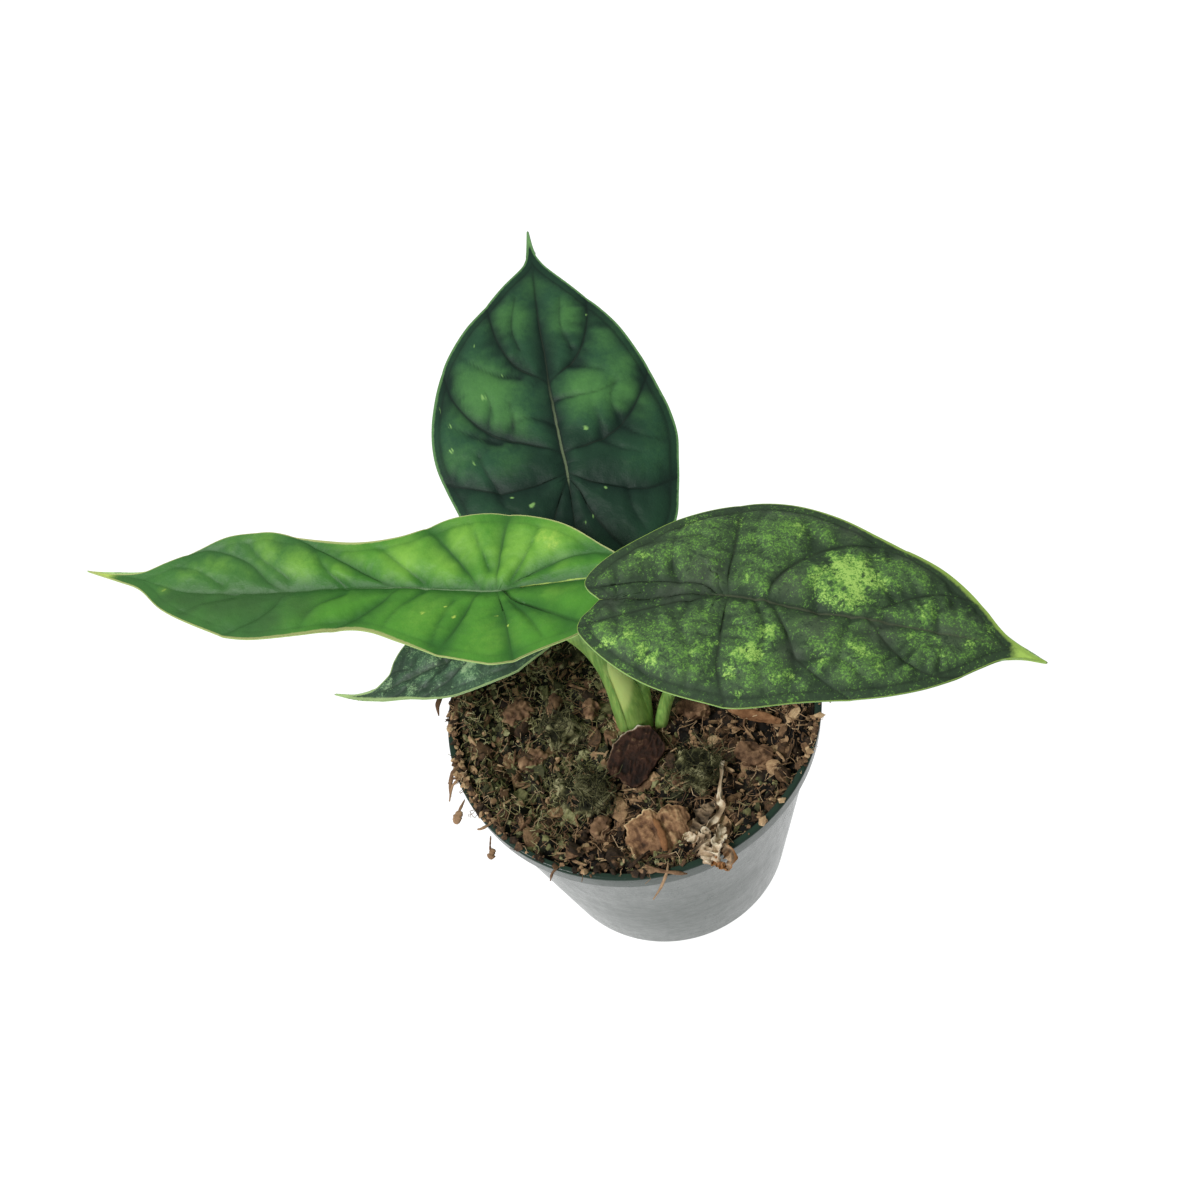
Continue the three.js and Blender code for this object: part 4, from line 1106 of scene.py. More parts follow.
LEFT_BLADE = Blade(
    name="left", joint=(-24.8, 5.7, 150), heading=155.4, pitch=-9, arch=-10, fold=0.22, curl=0.001, quilt=1.9,
    crinkle=0.2, steps=(3, 5, 3, 6, 8, 11),
    midrib=[(-27, -3.2), (-18, -2.8), (-8, -1.6), (0, -0.3), (13, -0.8), (27, -1.2), (44, -0.6), (55, 0.9),
        (66, 2.4), (78, 3.6), (89, 3.7), (102, 1), (110, 0.5), (118, 0)],
    left=[(-31.5, -1.8), (-34.8, 2.5), (-33, 9.5), (-26.7, 15.6), (-18, 20.3), (-8.5, 24), (-3, 23.8),
        (8.5, 21.4), (21, 17.5), (30.5, 14.4), (39, 13.8), (49.5, 16.3), (60, 18.1), (66, 18.3), (72, 17.3),
        (82, 14.4), (92.3, 10.2), (100.5, 4.5), (107.5, 2.4)],
    right=[(-31, -4), (-33.6, -6), (-31.8, -9.4), (-26.5, -12.4), (-17.6, -17.2), (-9, -19.7), (2.7, -21.2),
        (14, -20.3), (22, -18), (30, -14.8), (41, -13.1), (53, -13.5), (65, -14.7), (71, -14.2),
        (79.5, -12.6), (87.5, -8.6), (97.5, -3), (103, -0.7), (111, 0.2)],
    ribs=(
        Rib(-1.8, [(-6, 3.2), (-14, 6.6), (-24, 10.5), (-31, 12)], [(-8.4, -4.6), (-16, -8.2), (-24, -10),
            (-31.8, -9.3)]),
        Rib(0, [(-4.7, 7.6), (-8.7, 15.9), (-12, 22.8)], [(0.3, -7.4), (0.3, -13), (0.2, -21)]),
        Rib(3.5, [(5.5, 5.8), (7, 13), (9.5, 21.2)], [(8.3, -4.8), (15.5, -11.5), (22.6, -17.8)]),
        Rib(26.5, [(30, 3.7), (34.5, 9), (41, 14.1)], [(33.4, -2.9), (45, -7.8), (61, -14.4)]),
        Rib(58.5, [(60.8, 7.5), (65, 12.6), (71.5, 17.4)], [(64.7, -1), (72, -6), (82.7, -8.8), (90, -7.2)]),
    ),
    veins=([(2.8, -5.6), (7, -13), (11, -20)], [(-3.6, -3.4), (-7, -10), (-9.3, -16.7)], [(20.6, -2.7),
        (28.6, -7.5), (35.3, -12)], [(59.3, -2.4), (68.7, -7.6), (73.2, -11.6)], [(77.2, 1), (85.6, -2.3),
        (91.7, -3.2)], [(10.4, 3.8), (12, 11), (12, 19.2)], [(-4.7, 3.5), (-12, 9.4), (-18, 16)],
        [(42.2, 1.7), (48.8, 7), (50.3, 14)], [(72.9, 4.3), (80.3, 7.5), (85.8, 11.6)], [(42, -1), (50, -6),
        (54, -11)], [(20, 0), (25, 7), (27, 13)]),
    # The strong light patches on the back half are partly the leaf's paler panels and partly painted sheen.
    light=[(-12.7, -13, 6), (-16, -8.4, 4, 0.9), (-3.4, -10, 9, 0.9), (13.7, -11.7, 9), (27.5, -8.9, 7, 0.9),
        (44.7, -8.6, 7, 0.7), (16, 7.6, 8, 0.35), (-6, 15.9, 8, 0.35), (-17.2, -0.5, 5, 0.6),
        (93.5, 4.1, 2, 0.6), (57, -6, 7, 0.6), (68, -10, 7, 0.6), (80, -7, 6, 0.5), (88, -2, 4, 0.4),
        (-20, -16, 6, 0.7)],
    # Painted shade: the dark patches on the front half of the tip, in the grey colour.
    dark=[(61, 2.6, 6, 0.8), (67.7, 6.4, 8), (90.9, 6.8, 5, 0.8), (74, 7, 9), (84, 7, 7), (52, 7, 7, 0.7),
        (60, 12, 7, 0.8)],
    specks=[(8.5, 9.3, 0.6), (-7.4, 12, 0.5), (17, 8.7, 0.5), (93.5, 4.1, 0.8, 0.5),
        (-13.5, -13.2, 3.2, 0.4), (-10.6, -14.6, 2.4, 0.35), (-3, 9, 0.4), (12, 6, 0.4)],
    streaks=([(-6, -1.6), (-13, -2.7), (-16, -2.8), (-20, -3.5), (-27, -3.7)],),
    rim=((0, 0.15, 0.3), (0.25, 0.2, 0.2), (0.34, 0.7, 0.2), (0.5, 0.8, 0.6), (0.62, 0.4, 0.2),
        (0.8, 0.12, 0.15), (1, 0.2, 0.2)),
    border=0.35,
    finish=BladeFinish(deep="#2d5d24", middle="#4a842c", light="#80b044", speckle="#b3cb5a", vein="#28491f",
        grey="#37592f", midrib="#77906a", margin="#9ea468", under="#9cc078", tip="#a9c35c", far="#3a6236",
        far_share=0.65, pale_rib=(0.19, 0.5, 0.6), tip_from=0.93, dull=0.5, gloss=0.24, vein_depth=0.75),
)

BACK_BLADE = Blade(
    name="back", joint=(0.9, 45.3, 140), heading=83.9, pitch=12, arch=10, fold=0.08, curl=0.004,
    steps=(3, 7, 5, 6, 11),
    midrib=[(-20, 0.5), (-10, 0.2), (0, 0), (6, 0.4), (16, 0.7), (26, 1), (37, 0.8), (46, 1), (60, 0.6),
        (70, 0.2), (81.5, 0)],
    left=[(-26, 2.8), (-30, 7), (-30.5, 13), (-27.5, 19.5), (-20, 25.8), (-12, 29.2), (-4.5, 31.7),
        (2.3, 33.8), (9, 35.4), (15.5, 35.8), (22, 35.2), (28, 33.9), (34, 32.1), (40, 29.6), (45.5, 26),
        (51, 21.5), (55, 17.2), (62, 9.9), (67.4, 3.8), (70, 2.1), (73, 1.2)],
    right=[(-26, -2.6), (-30.5, -8), (-31.5, -14), (-29, -20.5), (-20.5, -26.4), (-12, -28.6), (-3, -30.2),
        (4.5, -31.2), (12.5, -30.4), (19, -28.8), (25.5, -27.1), (31, -25.3), (41, -21.2), (48.5, -16.7),
        (55, -11.9), (65, -4.6), (69.5, -2.1), (74, -0.7)],
    ribs=(
        Rib(-3.4, [(-8.4, 3.2), (-14, 5.6), (-22, 9), (-30.4, 12)], [(-7.3, -2.6), (-13.5, -4.6), (-22, -9),
            (-31.2, -15.5)]),
        Rib(-2, [(-2.7, 5.1), (-3.7, 16), (-2, 22), (4, 34.2)], [(-5, -5.6), (-8.3, -13.3), (-10.3, -21),
            (-8, -29.3)]),
        Rib(4.6, [(8, 6.2), (15.2, 19.3), (26.8, 27.5), (38.5, 30.2)], [(6, -7.5), (8.5, -14.8),
            (15.4, -21.3), (26, -26.9)]),
        Rib(26.5, [(29.2, 3.2), (35, 9.6), (45, 13.6), (57, 15.1)], [(29.5, -2.6), (35, -8.8), (44, -12.3),
            (53, -13.4)]),
    ),
    veins=([(30.4, 8.7), (32, 14.2), (36, 19.5), (41.4, 24.4)], [(8.4, 23), (3.4, 21.7), (-2.2, 18.9)],
        [(21.3, 0), (21, -7), (21, -12.5), (23, -17.6)], [(31.4, -6.2), (28.9, -11), (27.4, -14.6)],
        [(11, -16.5), (18.3, -15), (22.7, -17)], [(7.8, -11), (13, -10.7), (18, -9.8)], [(9, -17.5),
        (5.4, -21), (3, -26.6)], [(6, -11), (2.6, -15), (0, -20.7)], [(17.4, 19), (22, 17.8), (27, 18.3)],
        [(12, 13.7), (18, 12.3), (23, 12.5)], [(11.5, 17), (15, 23.6), (19, 29)], [(36, -7), (44, -5),
        (54, -6)], [(39.5, 7.5), (47, 8.8), (57, 6.6)], [(-9, -15.3), (-15.5, -15.6), (-21.8, -17.7)],
        [(-3, 19), (-7.5, 18.2), (-11.3, 14.6)], [(14, 1), (17, 8), (16, 12)]),
    light=[(27, 19, 11), (50, 9, 7, 0.8), (47, -8, 7, 0.8), (22, -9, 8), (19, -19, 8), (38, -17, 6, 0.6),
        (9.5, 29, 6, 0.5), (4.5, 14, 6, 0.4), (-3, -22, 6, 0.2), (16.5, 15, 7), (60, 1, 5, 0.5),
        (34, 25, 6, 0.7), (27, -20, 6, 0.7), (-14, 18, 6, 0.3), (5, -24, 5, 0.2)],
    dark=[(38.6, 0.5, 6, 0.5), (42, -12.9, 3, 0.4), (46.9, 13.8, 3, 0.3), (1.2, 5.9, 9), (-2.2, -8.8, 10),
        (-7, 11, 13), (6, -18, 11, 0.7), (18, -24.5, 4, 0.4), (-14, -14, 15), (-16, 4, 12), (-4, 24, 9, 0.5),
        (12, 2, 5, 0.5), (8, -4, 5, 0.8)],
    quilt=1.7, crinkle=0.35,
    specks=[(46.9, -12.5, 0.4), (26.2, 19.3, 0.8), (12.5, 30.3, 0.8), (-9.3, 10.7, 0.8), (10.5, -7.2, 0.6),
        (-8, -9.2, 0.5), (-5.7, 15.7, 0.4), (13.9, 22.3, 0.5), (26.7, 32.4, 0.5), (19.9, 29.7, 0.6),
        (7, 24.7, 0.5), (-16.5, -2.6, 0.4), (-15.3, -5, 0.5), (32.2, 13.3, 0.3), (43.5, 20, 0.3)],
    rim=((0, 0.5, 0.5), (0.5, 0.8, 0.6), (1, 0.4, 0.4)), border=0.75,
    finish=BladeFinish(deep="#182b22", middle="#294b34", light="#4f8042", speckle="#83ad62", vein="#0e1813",
        grey="#152820", midrib="#626f52", margin="#5c8450", under="#7fa278", tip="#7fae6a",
        pale_rib=(0.17, 0.5, 0.8), tip_from=0.93, dull=0.54, gloss=0.16, vein_highlight=0.1),
)

LOW_BLADE = Blade(
    name="low", joint=(-27.9, 18.5, 113), heading=174, pitch=-12, arch=15, fold=0.08, curl=0.004,
    steps=(2, 5, 4, 5, 7),
    midrib=[(-11, 0.3), (0, 0), (11, 2.1), (20, 3.5), (30, 4.6), (38, 5.2), (46, 4.2), (54.6, -0.2)],
    left=[(-15.5, 2.5), (-16.5, 6), (-12, 9.8), (-3, 13.6), (3, 14.8), (12, 15.4), (19.6, 14.7), (33.4, 10),
        (40, 7.8), (46.4, 5.1)],
    right=[(-16, -3), (-18, -7.5), (-15, -12.5), (-8, -16.5), (2, -18), (12, -16.5), (22, -12.5),
        (30.5, -6.2), (34, -2.7), (36.3, 0.8), (39.6, 3.2), (43, 3.9), (48, 2.8)],
    ribs=(
        Rib(-1.5, [(-6, 3.4), (-11, 6), (-16.2, 6.8)], [(-6, -3.5), (-12, -7), (-17.6, -9)]),
        Rib(0, [(-0.6, 5), (-1.5, 10), (-2.5, 13.8)], [(-0.4, -6), (-1, -12), (-1, -17.7)]),
        Rib(8, [(12, 6), (18, 10), (26, 12.5)], [(12, -4), (18, -9), (26, -9.8)]),
        Rib(26, [(29, 6.2), (34, 8.4), (40, 7.8)], [(29, 2.6), (33, 0.8), (36.3, 0.8)]),
    ),
    veins=([(4, 2), (7, 8), (8, 14)], [(18, 4), (23, 8), (28, 10.5)], [(18, 2.5), (24, -3), (30, -5)],
        [(5, 0.5), (8, -8), (8, -16)]),
    light=[(20, 2, 3), (11, 7, 3), (28.5, 8.7, 3), (2, 8, 3), (36.3, 4, 2.4)],
    dark=[(23.4, 4.6, 1.8), (16, 8.5, 1.8), (6.8, 9.5, 1.6), (31, -0.8, 1.6)],
    rim=((0, 0.25, 0.25), (0.5, 0.3, 0.25), (0.75, 0.9, 0.3), (1, 0.6, 0.3)),
    border=0.6,
    finish=BladeFinish(deep="#2a3c2e", middle="#3a5741", light="#6f8f68", speckle="#8aa17b", vein="#1e2c24",
        grey="#2c3d31", midrib="#50644b", margin="#94aa72", under="#8fae7c", tip="#a9cb7a", mottle=0.9,
        pale_rib=(0.3, 0.9, 0.3), tip_from=0.9, dull=0.5, gloss=0.28),
    columns=34,
)

BLADES = (RIGHT_BLADE, LEFT_BLADE, BACK_BLADE, LOW_BLADE)


# Stalks


@dataclass(frozen=True)
class Sheath:
    """The open trough at a stalk's foot: its wall, where it closes, and which way and how far it opens."""

    wall: float
    closed_at: float
    opening: float
    spread: float


@dataclass(frozen=True)
class Stalk:
    """A leaf's fleshy stalk from the corm to just under its blade."""

    blade: Blade
    path: Points
    radii: tuple[float, ...]
    sheath: Sheath | None = None
    throat: Points = ()
    turn: int = 32
    stations: int = 90

    CLEARANCE = 0.3
    PALE_THROAT = (91, 106)

    def section(self, t: float, radius: float) -> tuple[Array, Array]:
        """Draws one ring of the stalk.

        Args:
            t: From 0 at the corm to 1 at the blade.
            radius: The stalk's radius there.

        Returns:
            The ring in its own plane, and which of its points are on the trough's inside.
        """
        count = self.turn
        if self.sheath is None:
            return radius * circle(all_round(count, 0.5)), np.zeros(count)
        s = self.sheath
        trough = 1 - float(ramp(t, s.closed_at - 0.25, s.closed_at))
        full = math.pi / 2 - math.pi / count
        spread = full + (math.radians(s.spread) - full) * trough
        swing = spread * np.linspace(-1, 1, count // 2)
        middle = math.radians(s.opening + 180)
        angle, mirrored = middle + swing, middle + math.pi - swing
        edge = np.abs(swing / spread)
        hollow = radius - s.wall * (1 - 0.55 * ramp(edge, 0.6, 1))
        inner = radius * circle(mirrored) * (1 - trough) + hollow[:, None] * circle(angle) * trough
        return np.vstack([radius * circle(angle), inner[::-1]]), np.repeat([0.0, trough], count // 2)

    def build(self, material: Material) -> None:
        """Makes the closed stalk.

        Args:
            material: The stalks' finish.
        """
        middle, _, up = self.blade.frame(np.array(0.0))
        end = middle - up * (Blade.THICKNESS / 2 + self.CLEARANCE)
        knots = [*self.path, end]
        rings, inside, places = [], [], []
        for t in np.linspace(0, 1, self.stations + 1):
            near = smooth_curve(knots, np.array([t - 1e-4, t, t + 1e-4]).clip(0, 1), even=False)
            axis = unit(near[2] - near[0])
            axis = unit(axis + (up - axis) * ramp(t, 0.85, 1))
            across = unit(np.array([1.0, 0, 0]) - axis * axis[0])
            beside = np.cross(axis, across)
            radius = float(np.interp(t * (len(self.radii) - 1), range(len(self.radii)), self.radii))
            ring, within = self.section(t, radius)
            rings.append(near[1] + ring[:, :1] * across + ring[:, 1:] * beside)
            inside.append(within)
            places.append(np.full(len(ring), t))
        skins = [loft(np.array(rings))]
        if self.throat:
            skins.append(self.plug())
            spots = skins[-1][0]
            inside.append(ramp(spots[:, 2] - 1.8 * (spots[:, 0] + 1), *self.PALE_THROAT))
            places.append(np.full(len(spots), 0.2))
        piece = make_mesh(f"{self.blade.name}_stalk", *joined(skins), inside=np.concatenate(inside),
                          along=np.concatenate(places))
        settle(piece, material, "stalk", f"stalk_{self.blade.name}")

    def plug(self) -> tuple[Array, Faces]:
        """Makes the sheath's fleshy throat, which closes it against the next stalk.

        Returns:
            Its points and faces.
        """
        t = np.linspace(0, 1, 25)
        middle = smooth_curve([place[:3] for place in self.throat], t)
        radius = smooth_curve([(place[3], 0, 0) for place in self.throat], t)[:, 0]
        ring = np.pad(circle(all_round(self.turn, 0.5)), ((0, 0), (0, 1)))
        return loft(middle[:, None] + radius[:, None, None] * ring)


@dataclass(frozen=True)
class StalkFinish:
    """Colours of the stalks: the round outside, the pale sheath and the shaded foot."""

    outside: str = "#92b55f"
    streak: str = "#6a9045"
    sheath: str = "#b2c673"
    foot: str = "#84a04e"

    def material(self) -> Material:
        """Builds the fleshy, finely streaked surface.

        Returns:
            The material.
        """
        s = Shader("stalk")
        lines = s.noise(0.8, 3, 0.6, s.stretched(1, 1, 0.08))
        cloud = s.noise(5, 2)
        base = s.mix(lines.step(0.35, 0.7), self.streak, self.outside)
        base = s.mix(cloud.step(0.45, 0.75) * 0.35, base, self.foot)
        base = s.mix(s.attribute("along").step(0.32, 0.12) * 0.5, base, self.foot)
        base = s.mix(s.attribute("inside").step(0.15, 0.6), base, self.sheath)
        bumps = s.bump(lines, 0.08, s.bump(cloud, 0.2))
        return s.finish(base, 0.42 + (cloud - 0.5) * 0.2, bumps, Specular_IOR_Level=0.4,
                        Subsurface_Weight=0.12, Subsurface_Scale=0.0015)


STALKS = (
    Stalk(LEFT_BLADE, [(-0.6, -1.9, 66), (-0.6, -1.9, 80), (-0.9, -1.6, 90), (-1.5, -0.9, 100),
        (-3.5, 0.6, 112), (-7.8, 2.2, 124), (-15.4, 3.7, 136), (-21.9, 5, 145)],
        (5.1, 5.1, 4.8, 3.9, 2.9, 2.4, 2.1, 2), Sheath(1, 0.6, -20, 84), throat=((-0.1, -2.3, 68, 4.9),
        (-0.1, -2.3, 78, 5), (-0.2, -2.2, 84, 4.9), (-0.5, -2, 91, 4.5), (-1.1, -1.3, 100, 3.8),
        (-2.8, 0.1, 109, 2.9), (-5, 1.3, 117, 2.3), (-7.1, 2.1, 123, 1.4))),
    Stalk(BACK_BLADE, [(1.2, -2, 66), (1.5, -2.1, 80), (2.3, -1.2, 88), (3.4, 1.8, 96), (4.4, 7.5, 106),
        (4.4, 15, 115), (3.6, 26, 125), (1.9, 37, 134)], (2.7, 3.3, 3.1, 2.6, 2.3, 2.1, 2)),
    Stalk(RIGHT_BLADE, [(5.7, -4.9, 66), (6.2, -5.2, 80), (7.6, -4.9, 86), (9.4, -4.7, 92), (14, -8, 110),
        (20, -14.5, 133), (25.4, -20.3, 154)], (1.6, 1.9, 1.8, 1.7, 1.6)),
    Stalk(LOW_BLADE, [(-2.6, 6, 66), (-2.2, 6.4, 80), (-0.4, 8.5, 90), (-1.8, 11.3, 100), (-7.5, 14, 107.8),
        (-17.6, 16.4, 110.7)], (1.6, 1.6, 1.5, 1.4, 1.3)),
)


# Pot


@dataclass(frozen=True)
class PotFinish:
    """Glossy dark green plastic with dust and scuffs."""

    body: str = "#25342c"
    dust: str = "#55625c"
    dull: float = 0.22

    def material(self) -> Material:
        """Builds the moulded plastic.

        Returns:
            The material.
        """
        s = Shader("pot")
        cloud = s.noise(16, 4, 0.6)
        scuff = s.noise(2.5, 4, 0.7, s.stretched(1, 1, 0.2))
        dust = s.noise(0.7, 3, 0.6).step(0.62, 0.74) * cloud.step(0.42, 0.6)
        base = s.mix(dust * 0.4, self.body, self.dust)
        bumps = s.bump(cloud, 0.3)
        return s.finish(base, self.dull + (scuff - 0.5) * 0.18 + dust * 0.3, bumps, Specular_IOR_Level=0.15)


@dataclass(frozen=True)
class Pot:
    """The round nursery pot, turned from its profile, with drainage holes in its floor."""

    height: float = 88
    rim_radius: float = 53
    base_radius: float = 37
    wall: float = 1.2
    floor: float = 1.6
    band_height: float = 7
    band_step: float = 1.6
    lip: float = 2
    holes: int = 8
    hole_radius: float = 3.6
    hole_circle: float = 28
    sides: int = 192
    rounding: float = 0.35
    finish: PotFinish = PotFinish()

    @property
    def band_bottom(self) -> float:
        """Height of the rim band's lower edge."""
        return self.height - self.band_height

    @property
    def top_radius(self) -> float:
        """Outer radius of the wall just under the rim band."""
        return self.rim_radius - 0.5 - self.band_step

    def wall_radius(self, z: float) -> float:
        """Outer radius of the tapered wall at a height."""
        return self.base_radius + (self.top_radius - self.base_radius) * z / self.band_bottom

    def profile(self) -> Array:
        """Draws the wall's closed outline, with small rounded corners.

        Returns:
            Radius and height of its points.
        """
        rim, top, low = self.rim_radius, self.top_radius, self.band_bottom
        band, inside = top + self.band_step, rim - self.lip
        floor_radius = self.wall_radius(self.floor) - self.wall
        z = self.height
        corners = np.array([
            (0, 0), (self.base_radius - 2.6, 0), (self.base_radius - 0.7, 0.7), (self.wall_radius(2.6), 2.6),
            (self.wall_radius(low / 2), low / 2), (top, low), (band, low + 0.5), (band + 0.2, z - 1.6),
            (rim, z - 1.2), (rim, z - 0.4), (rim - 0.5, z), (inside + 0.3, z), (inside, z - 0.6),
            (inside - 0.5, low + 0.6), (top - self.wall, low - 0.8), (floor_radius, self.floor + 1.4),
            (floor_radius - 1.2, self.floor), (0, self.floor),
        ], float)
        rounded = [corners[0]]
        for before, here, after in zip(corners, corners[1:], corners[2:]):
            reach = min(self.rounding, *(np.linalg.norm(p - here) * 0.4 for p in (before, after)))
            start, end = here + unit(before - here) * reach, here + unit(after - here) * reach
            for t in (0, 0.33, 0.67, 1):
                rounded.append(start * (1 - t) ** 2 + here * 2 * t * (1 - t) + end * t * t)
        return np.array([*rounded, corners[-1]])

    def tree(self) -> Builder:
        """Builds the tree that turns a profile about the upright axis and drills the floor.

        Returns:
            The tree.
        """
        b = Builder("turned_pot", Sides="Int", Holes="Int", Hole_radius="Float", Hole_circle="Float",
                    Material="Material")
        outline = b.given("Geometry")
        count = b.make("AttributeDomainSize", {"component": "MESH"}, Geometry=outline)
        grid = b.make("MeshGrid", Vertices_X=b.given("Sides") + 1, Vertices_Y=count)
        index = b.make("InputIndex")
        spot = b.make("SampleIndex", {"data_type": "FLOAT_VECTOR"}, Geometry=outline,
                      Value=b.make("InputPosition"), Index=index.math("MODULO", count))
        angle = (index / count).math("FLOOR") / b.given("Sides") * (2 * math.pi)
        placed = b.value("ShaderNodeVectorRotate", {"rotation_type": "Z_AXIS"},
                         {"Vector": spot, "Angle": angle})
        shell = b.make("MergeByDistance", Geometry=b.make("SetPosition", Geometry=grid, Position=placed),
                       Distance=1e-6)
        ring = b.make("MeshCircle", Vertices=b.given("Holes"), Radius=b.given("Hole_circle"))
        drill = b.make("MeshCylinder", Vertices=24, Radius=b.given("Hole_radius"), Depth=0.01)
        drills = b.make("RealizeInstances", Geometry=b.make("InstanceOnPoints", Points=ring, Instance=drill))
        b.finish(b.value("GeometryNodeMeshBoolean", {"operation": "DIFFERENCE"}, {0: shell, 1: drills}))
        return b

    def build(self) -> None:
        """Makes the pot."""
        outline = self.profile()
        upright = np.stack([outline[:, 0], np.zeros(len(outline)), outline[:, 1]], axis=1)
        start = make_mesh("profile", upright, [])
        piece = self.tree().run(start, "pot_shell", Sides=self.sides, Holes=self.holes,
                                Hole_radius=self.hole_radius * MM, Hole_circle=self.hole_circle * MM)
        piece.data.set_sharp_from_angle(angle=math.radians(50))
        settle(piece, self.finish.material(), "pot", "pot")


# Bark mix


@dataclass(frozen=True)
class Earthy:
    """A rough material whose pieces differ in tone: colours from the darkest to the palest."""

    name: str
    shades: tuple[str, ...]
    patch: float = 3.0
    depth: float = 0.3
    mossy: tuple[str, ...] = ()

    def material(self) -> Material:
        """Builds the surface from the tone stored on the mesh, painted light and shade included where a piece
        has them, and a fine grain, with other shades where it is mossy.

        Returns:
            The material.
        """
        s = Shader(self.name)
        cloud = s.noise(self.patch, 4, 0.65)
        grit = s.noise(self.patch / 7, 3, 0.6)
        tone = s.attribute("tone") * 0.8 + (cloud - 0.5) * 0.7 + (grit - 0.5) * 0.35 + 0.1
        base = s.shades(tone, self.stops(self.shades))
        if self.mossy:
            moss = (s.attribute("moss") + (cloud - 0.5)).step(0.1, 0.5)
            base = s.mix(moss, base, s.shades(tone, self.stops(self.mossy)))
        bumps = s.bump(grit, self.depth * 0.5, s.bump(cloud, self.depth))
        return s.finish(base, 0.82 + (cloud - 0.5) * 0.2, bumps, Specular_IOR_Level=0.25)

    @staticmethod
    def stops(shades: Sequence[str]) -> list[tuple[float, str]]:
        """Shades spread evenly over a ramp."""
        return [(i / (len(shades) - 1), shade) for i, shade in enumerate(shades)]


class Ground(Enum):
    """Parts of the mix where something may lie, by the name of the surface's attribute."""

    FREE = "free"
    MOSSY = "moss"
    BARE = "bare"


class Strewn:
    """Something small that is strewn over a surface."""

    def sizes(self) -> dict[str, Any]:
        """Its sizes by the names of the tree's inputs."""
        raise NotImplementedError

    def tree(self) -> Builder:
        """The tree that strews it."""
        raise NotImplementedError

    def strew(self, surface: Object, name: str, finish: Material, seed: int, density: float,
              ground: Ground = Ground.FREE, slot: str = "soil") -> None:
        """Strews it over a surface, which is used up, so many to the square millimetre of the ground."""
        piece = self.tree().run(surface, name, Density=density / MM**2, Weight=ground.value, Seed=seed,
                                Material=finish, **self.sizes())
        settle(piece, finish, slot)


@dataclass(frozen=True)
class Grains(Strewn):
    """Lumpy grains: the smallest and the largest across, and their shape.

    Flatness is thickness against length, and slender is width against length. Sink is how high a grain's
    middle is over the surface against its radius, and sides are the facets round it.
    """

    smallest: float
    largest: float
    flatness: float = 1.0
    slender: float = 1.0
    sink: float = 0.3
    sides: int = 5

    KINDS = 4
    RINGS = 5

    def sizes(self) -> dict[str, Any]:
        """Its sizes by the names of the tree's inputs."""
        return {"Smallest": self.smallest * MM / 2, "Largest": self.largest * MM / 2, "Sink": self.sink,
                "Flatness": self.flatness, "Slender": self.slender, "Sides": self.sides}

    def tree(self) -> Builder:
        """Builds the tree that strews lumpy grains.

        Returns:
            The tree.
        """
        b = Builder("grains", Density="Float", Smallest="Float", Largest="Float", Flatness="Float",
                    Slender="Float", Sink="Float", Sides="Int", Weight="String", Seed="Int",
                    Material="Material")
        shapes = []
        for kind in range(self.KINDS):
            ball = b.make("MeshUVSphere", Segments=b.given("Sides"), Rings=self.RINGS, Radius=1.0)
            shapes.append(b.vary(ball, (7.0 * kind, 3.0, 5.0), 0.9, 2.0, 1.5))
        share = b.random("FLOAT", 0.0, 1.0, 3) ** 2.2
        size = share * (b.given("Largest") - b.given("Smallest")) + b.given("Smallest")
        stretch = b.random("FLOAT_VECTOR", (0.65, 0.5, 0.35), (1.25, 0.95, 0.8), 4)
        flat = b.value("ShaderNodeCombineXYZ", None, {0: 1.0, 1: b.given("Slender"), 2: b.given("Flatness")})
        scale = b.scaled(b.vector("MULTIPLY", stretch, flat), size)
        turn = b.random("FLOAT_VECTOR", (-0.7, -0.7, 0.0), (0.7, 0.7, 6.283), 5)
        sunk = b.value("ShaderNodeCombineXYZ", None, {2: size * b.given("Sink")})
        b.strew(b.make("SetPosition", Geometry=b.spots(), Offset=sunk), shapes, turn, scale, 6)
        return b


@dataclass(frozen=True)
class Strands(Strewn):
    """Curled strands: the longest one's length and thickness, how they bend, and their lean in radians."""

    length: float
    thickness: float
    curl: float
    lean: float

    KINDS = 6
    STEPS = 6

    def sizes(self) -> dict[str, Any]:
        """Its sizes by the names of the tree's inputs."""
        return {"Length": self.length * MM, "Thickness": self.thickness / self.length / 2, "Curl": self.curl,
                "Lean": self.lean}

    def tree(self) -> Builder:
        """Builds the tree that strews curled strands.

        Returns:
            The tree.
        """
        b = Builder("strands", Density="Float", Length="Float", Thickness="Float", Curl="Float", Lean="Float",
                    Weight="String", Seed="Int", Material="Material")
        section = b.make("CurvePrimitiveCircle", Resolution=3, Radius=b.given("Thickness"))
        shapes = []
        for kind in range(self.KINDS):
            row = b.make("MeshLine", Count=self.STEPS + 1, Offset=(0.0, 0.0, 1 / self.STEPS))
            bent = b.vary(row, (5.0 * kind, 2.0, 1.0), 1.8, 1.0, b.given("Curl") * 1.6)
            shapes.append(b.make("CurveToMesh", Curve=b.make("MeshToCurve", Mesh=bent), Profile_Curve=section,
                                 Fill_Caps=True))
        leans = [b.random("FLOAT", -1.0, 1.0, seed) * b.given("Lean") for seed in (5, 6)]
        around = b.random("FLOAT", 0.0, 6.283, 7)
        turn = b.value("ShaderNodeCombineXYZ", None, {0: leans[0], 1: leans[1], 2: around})
        size = b.given("Length") * b.random("FLOAT", 0.35, 1.0, 8)
        b.strew(b.spots(), shapes, turn, size, 9)
        return b


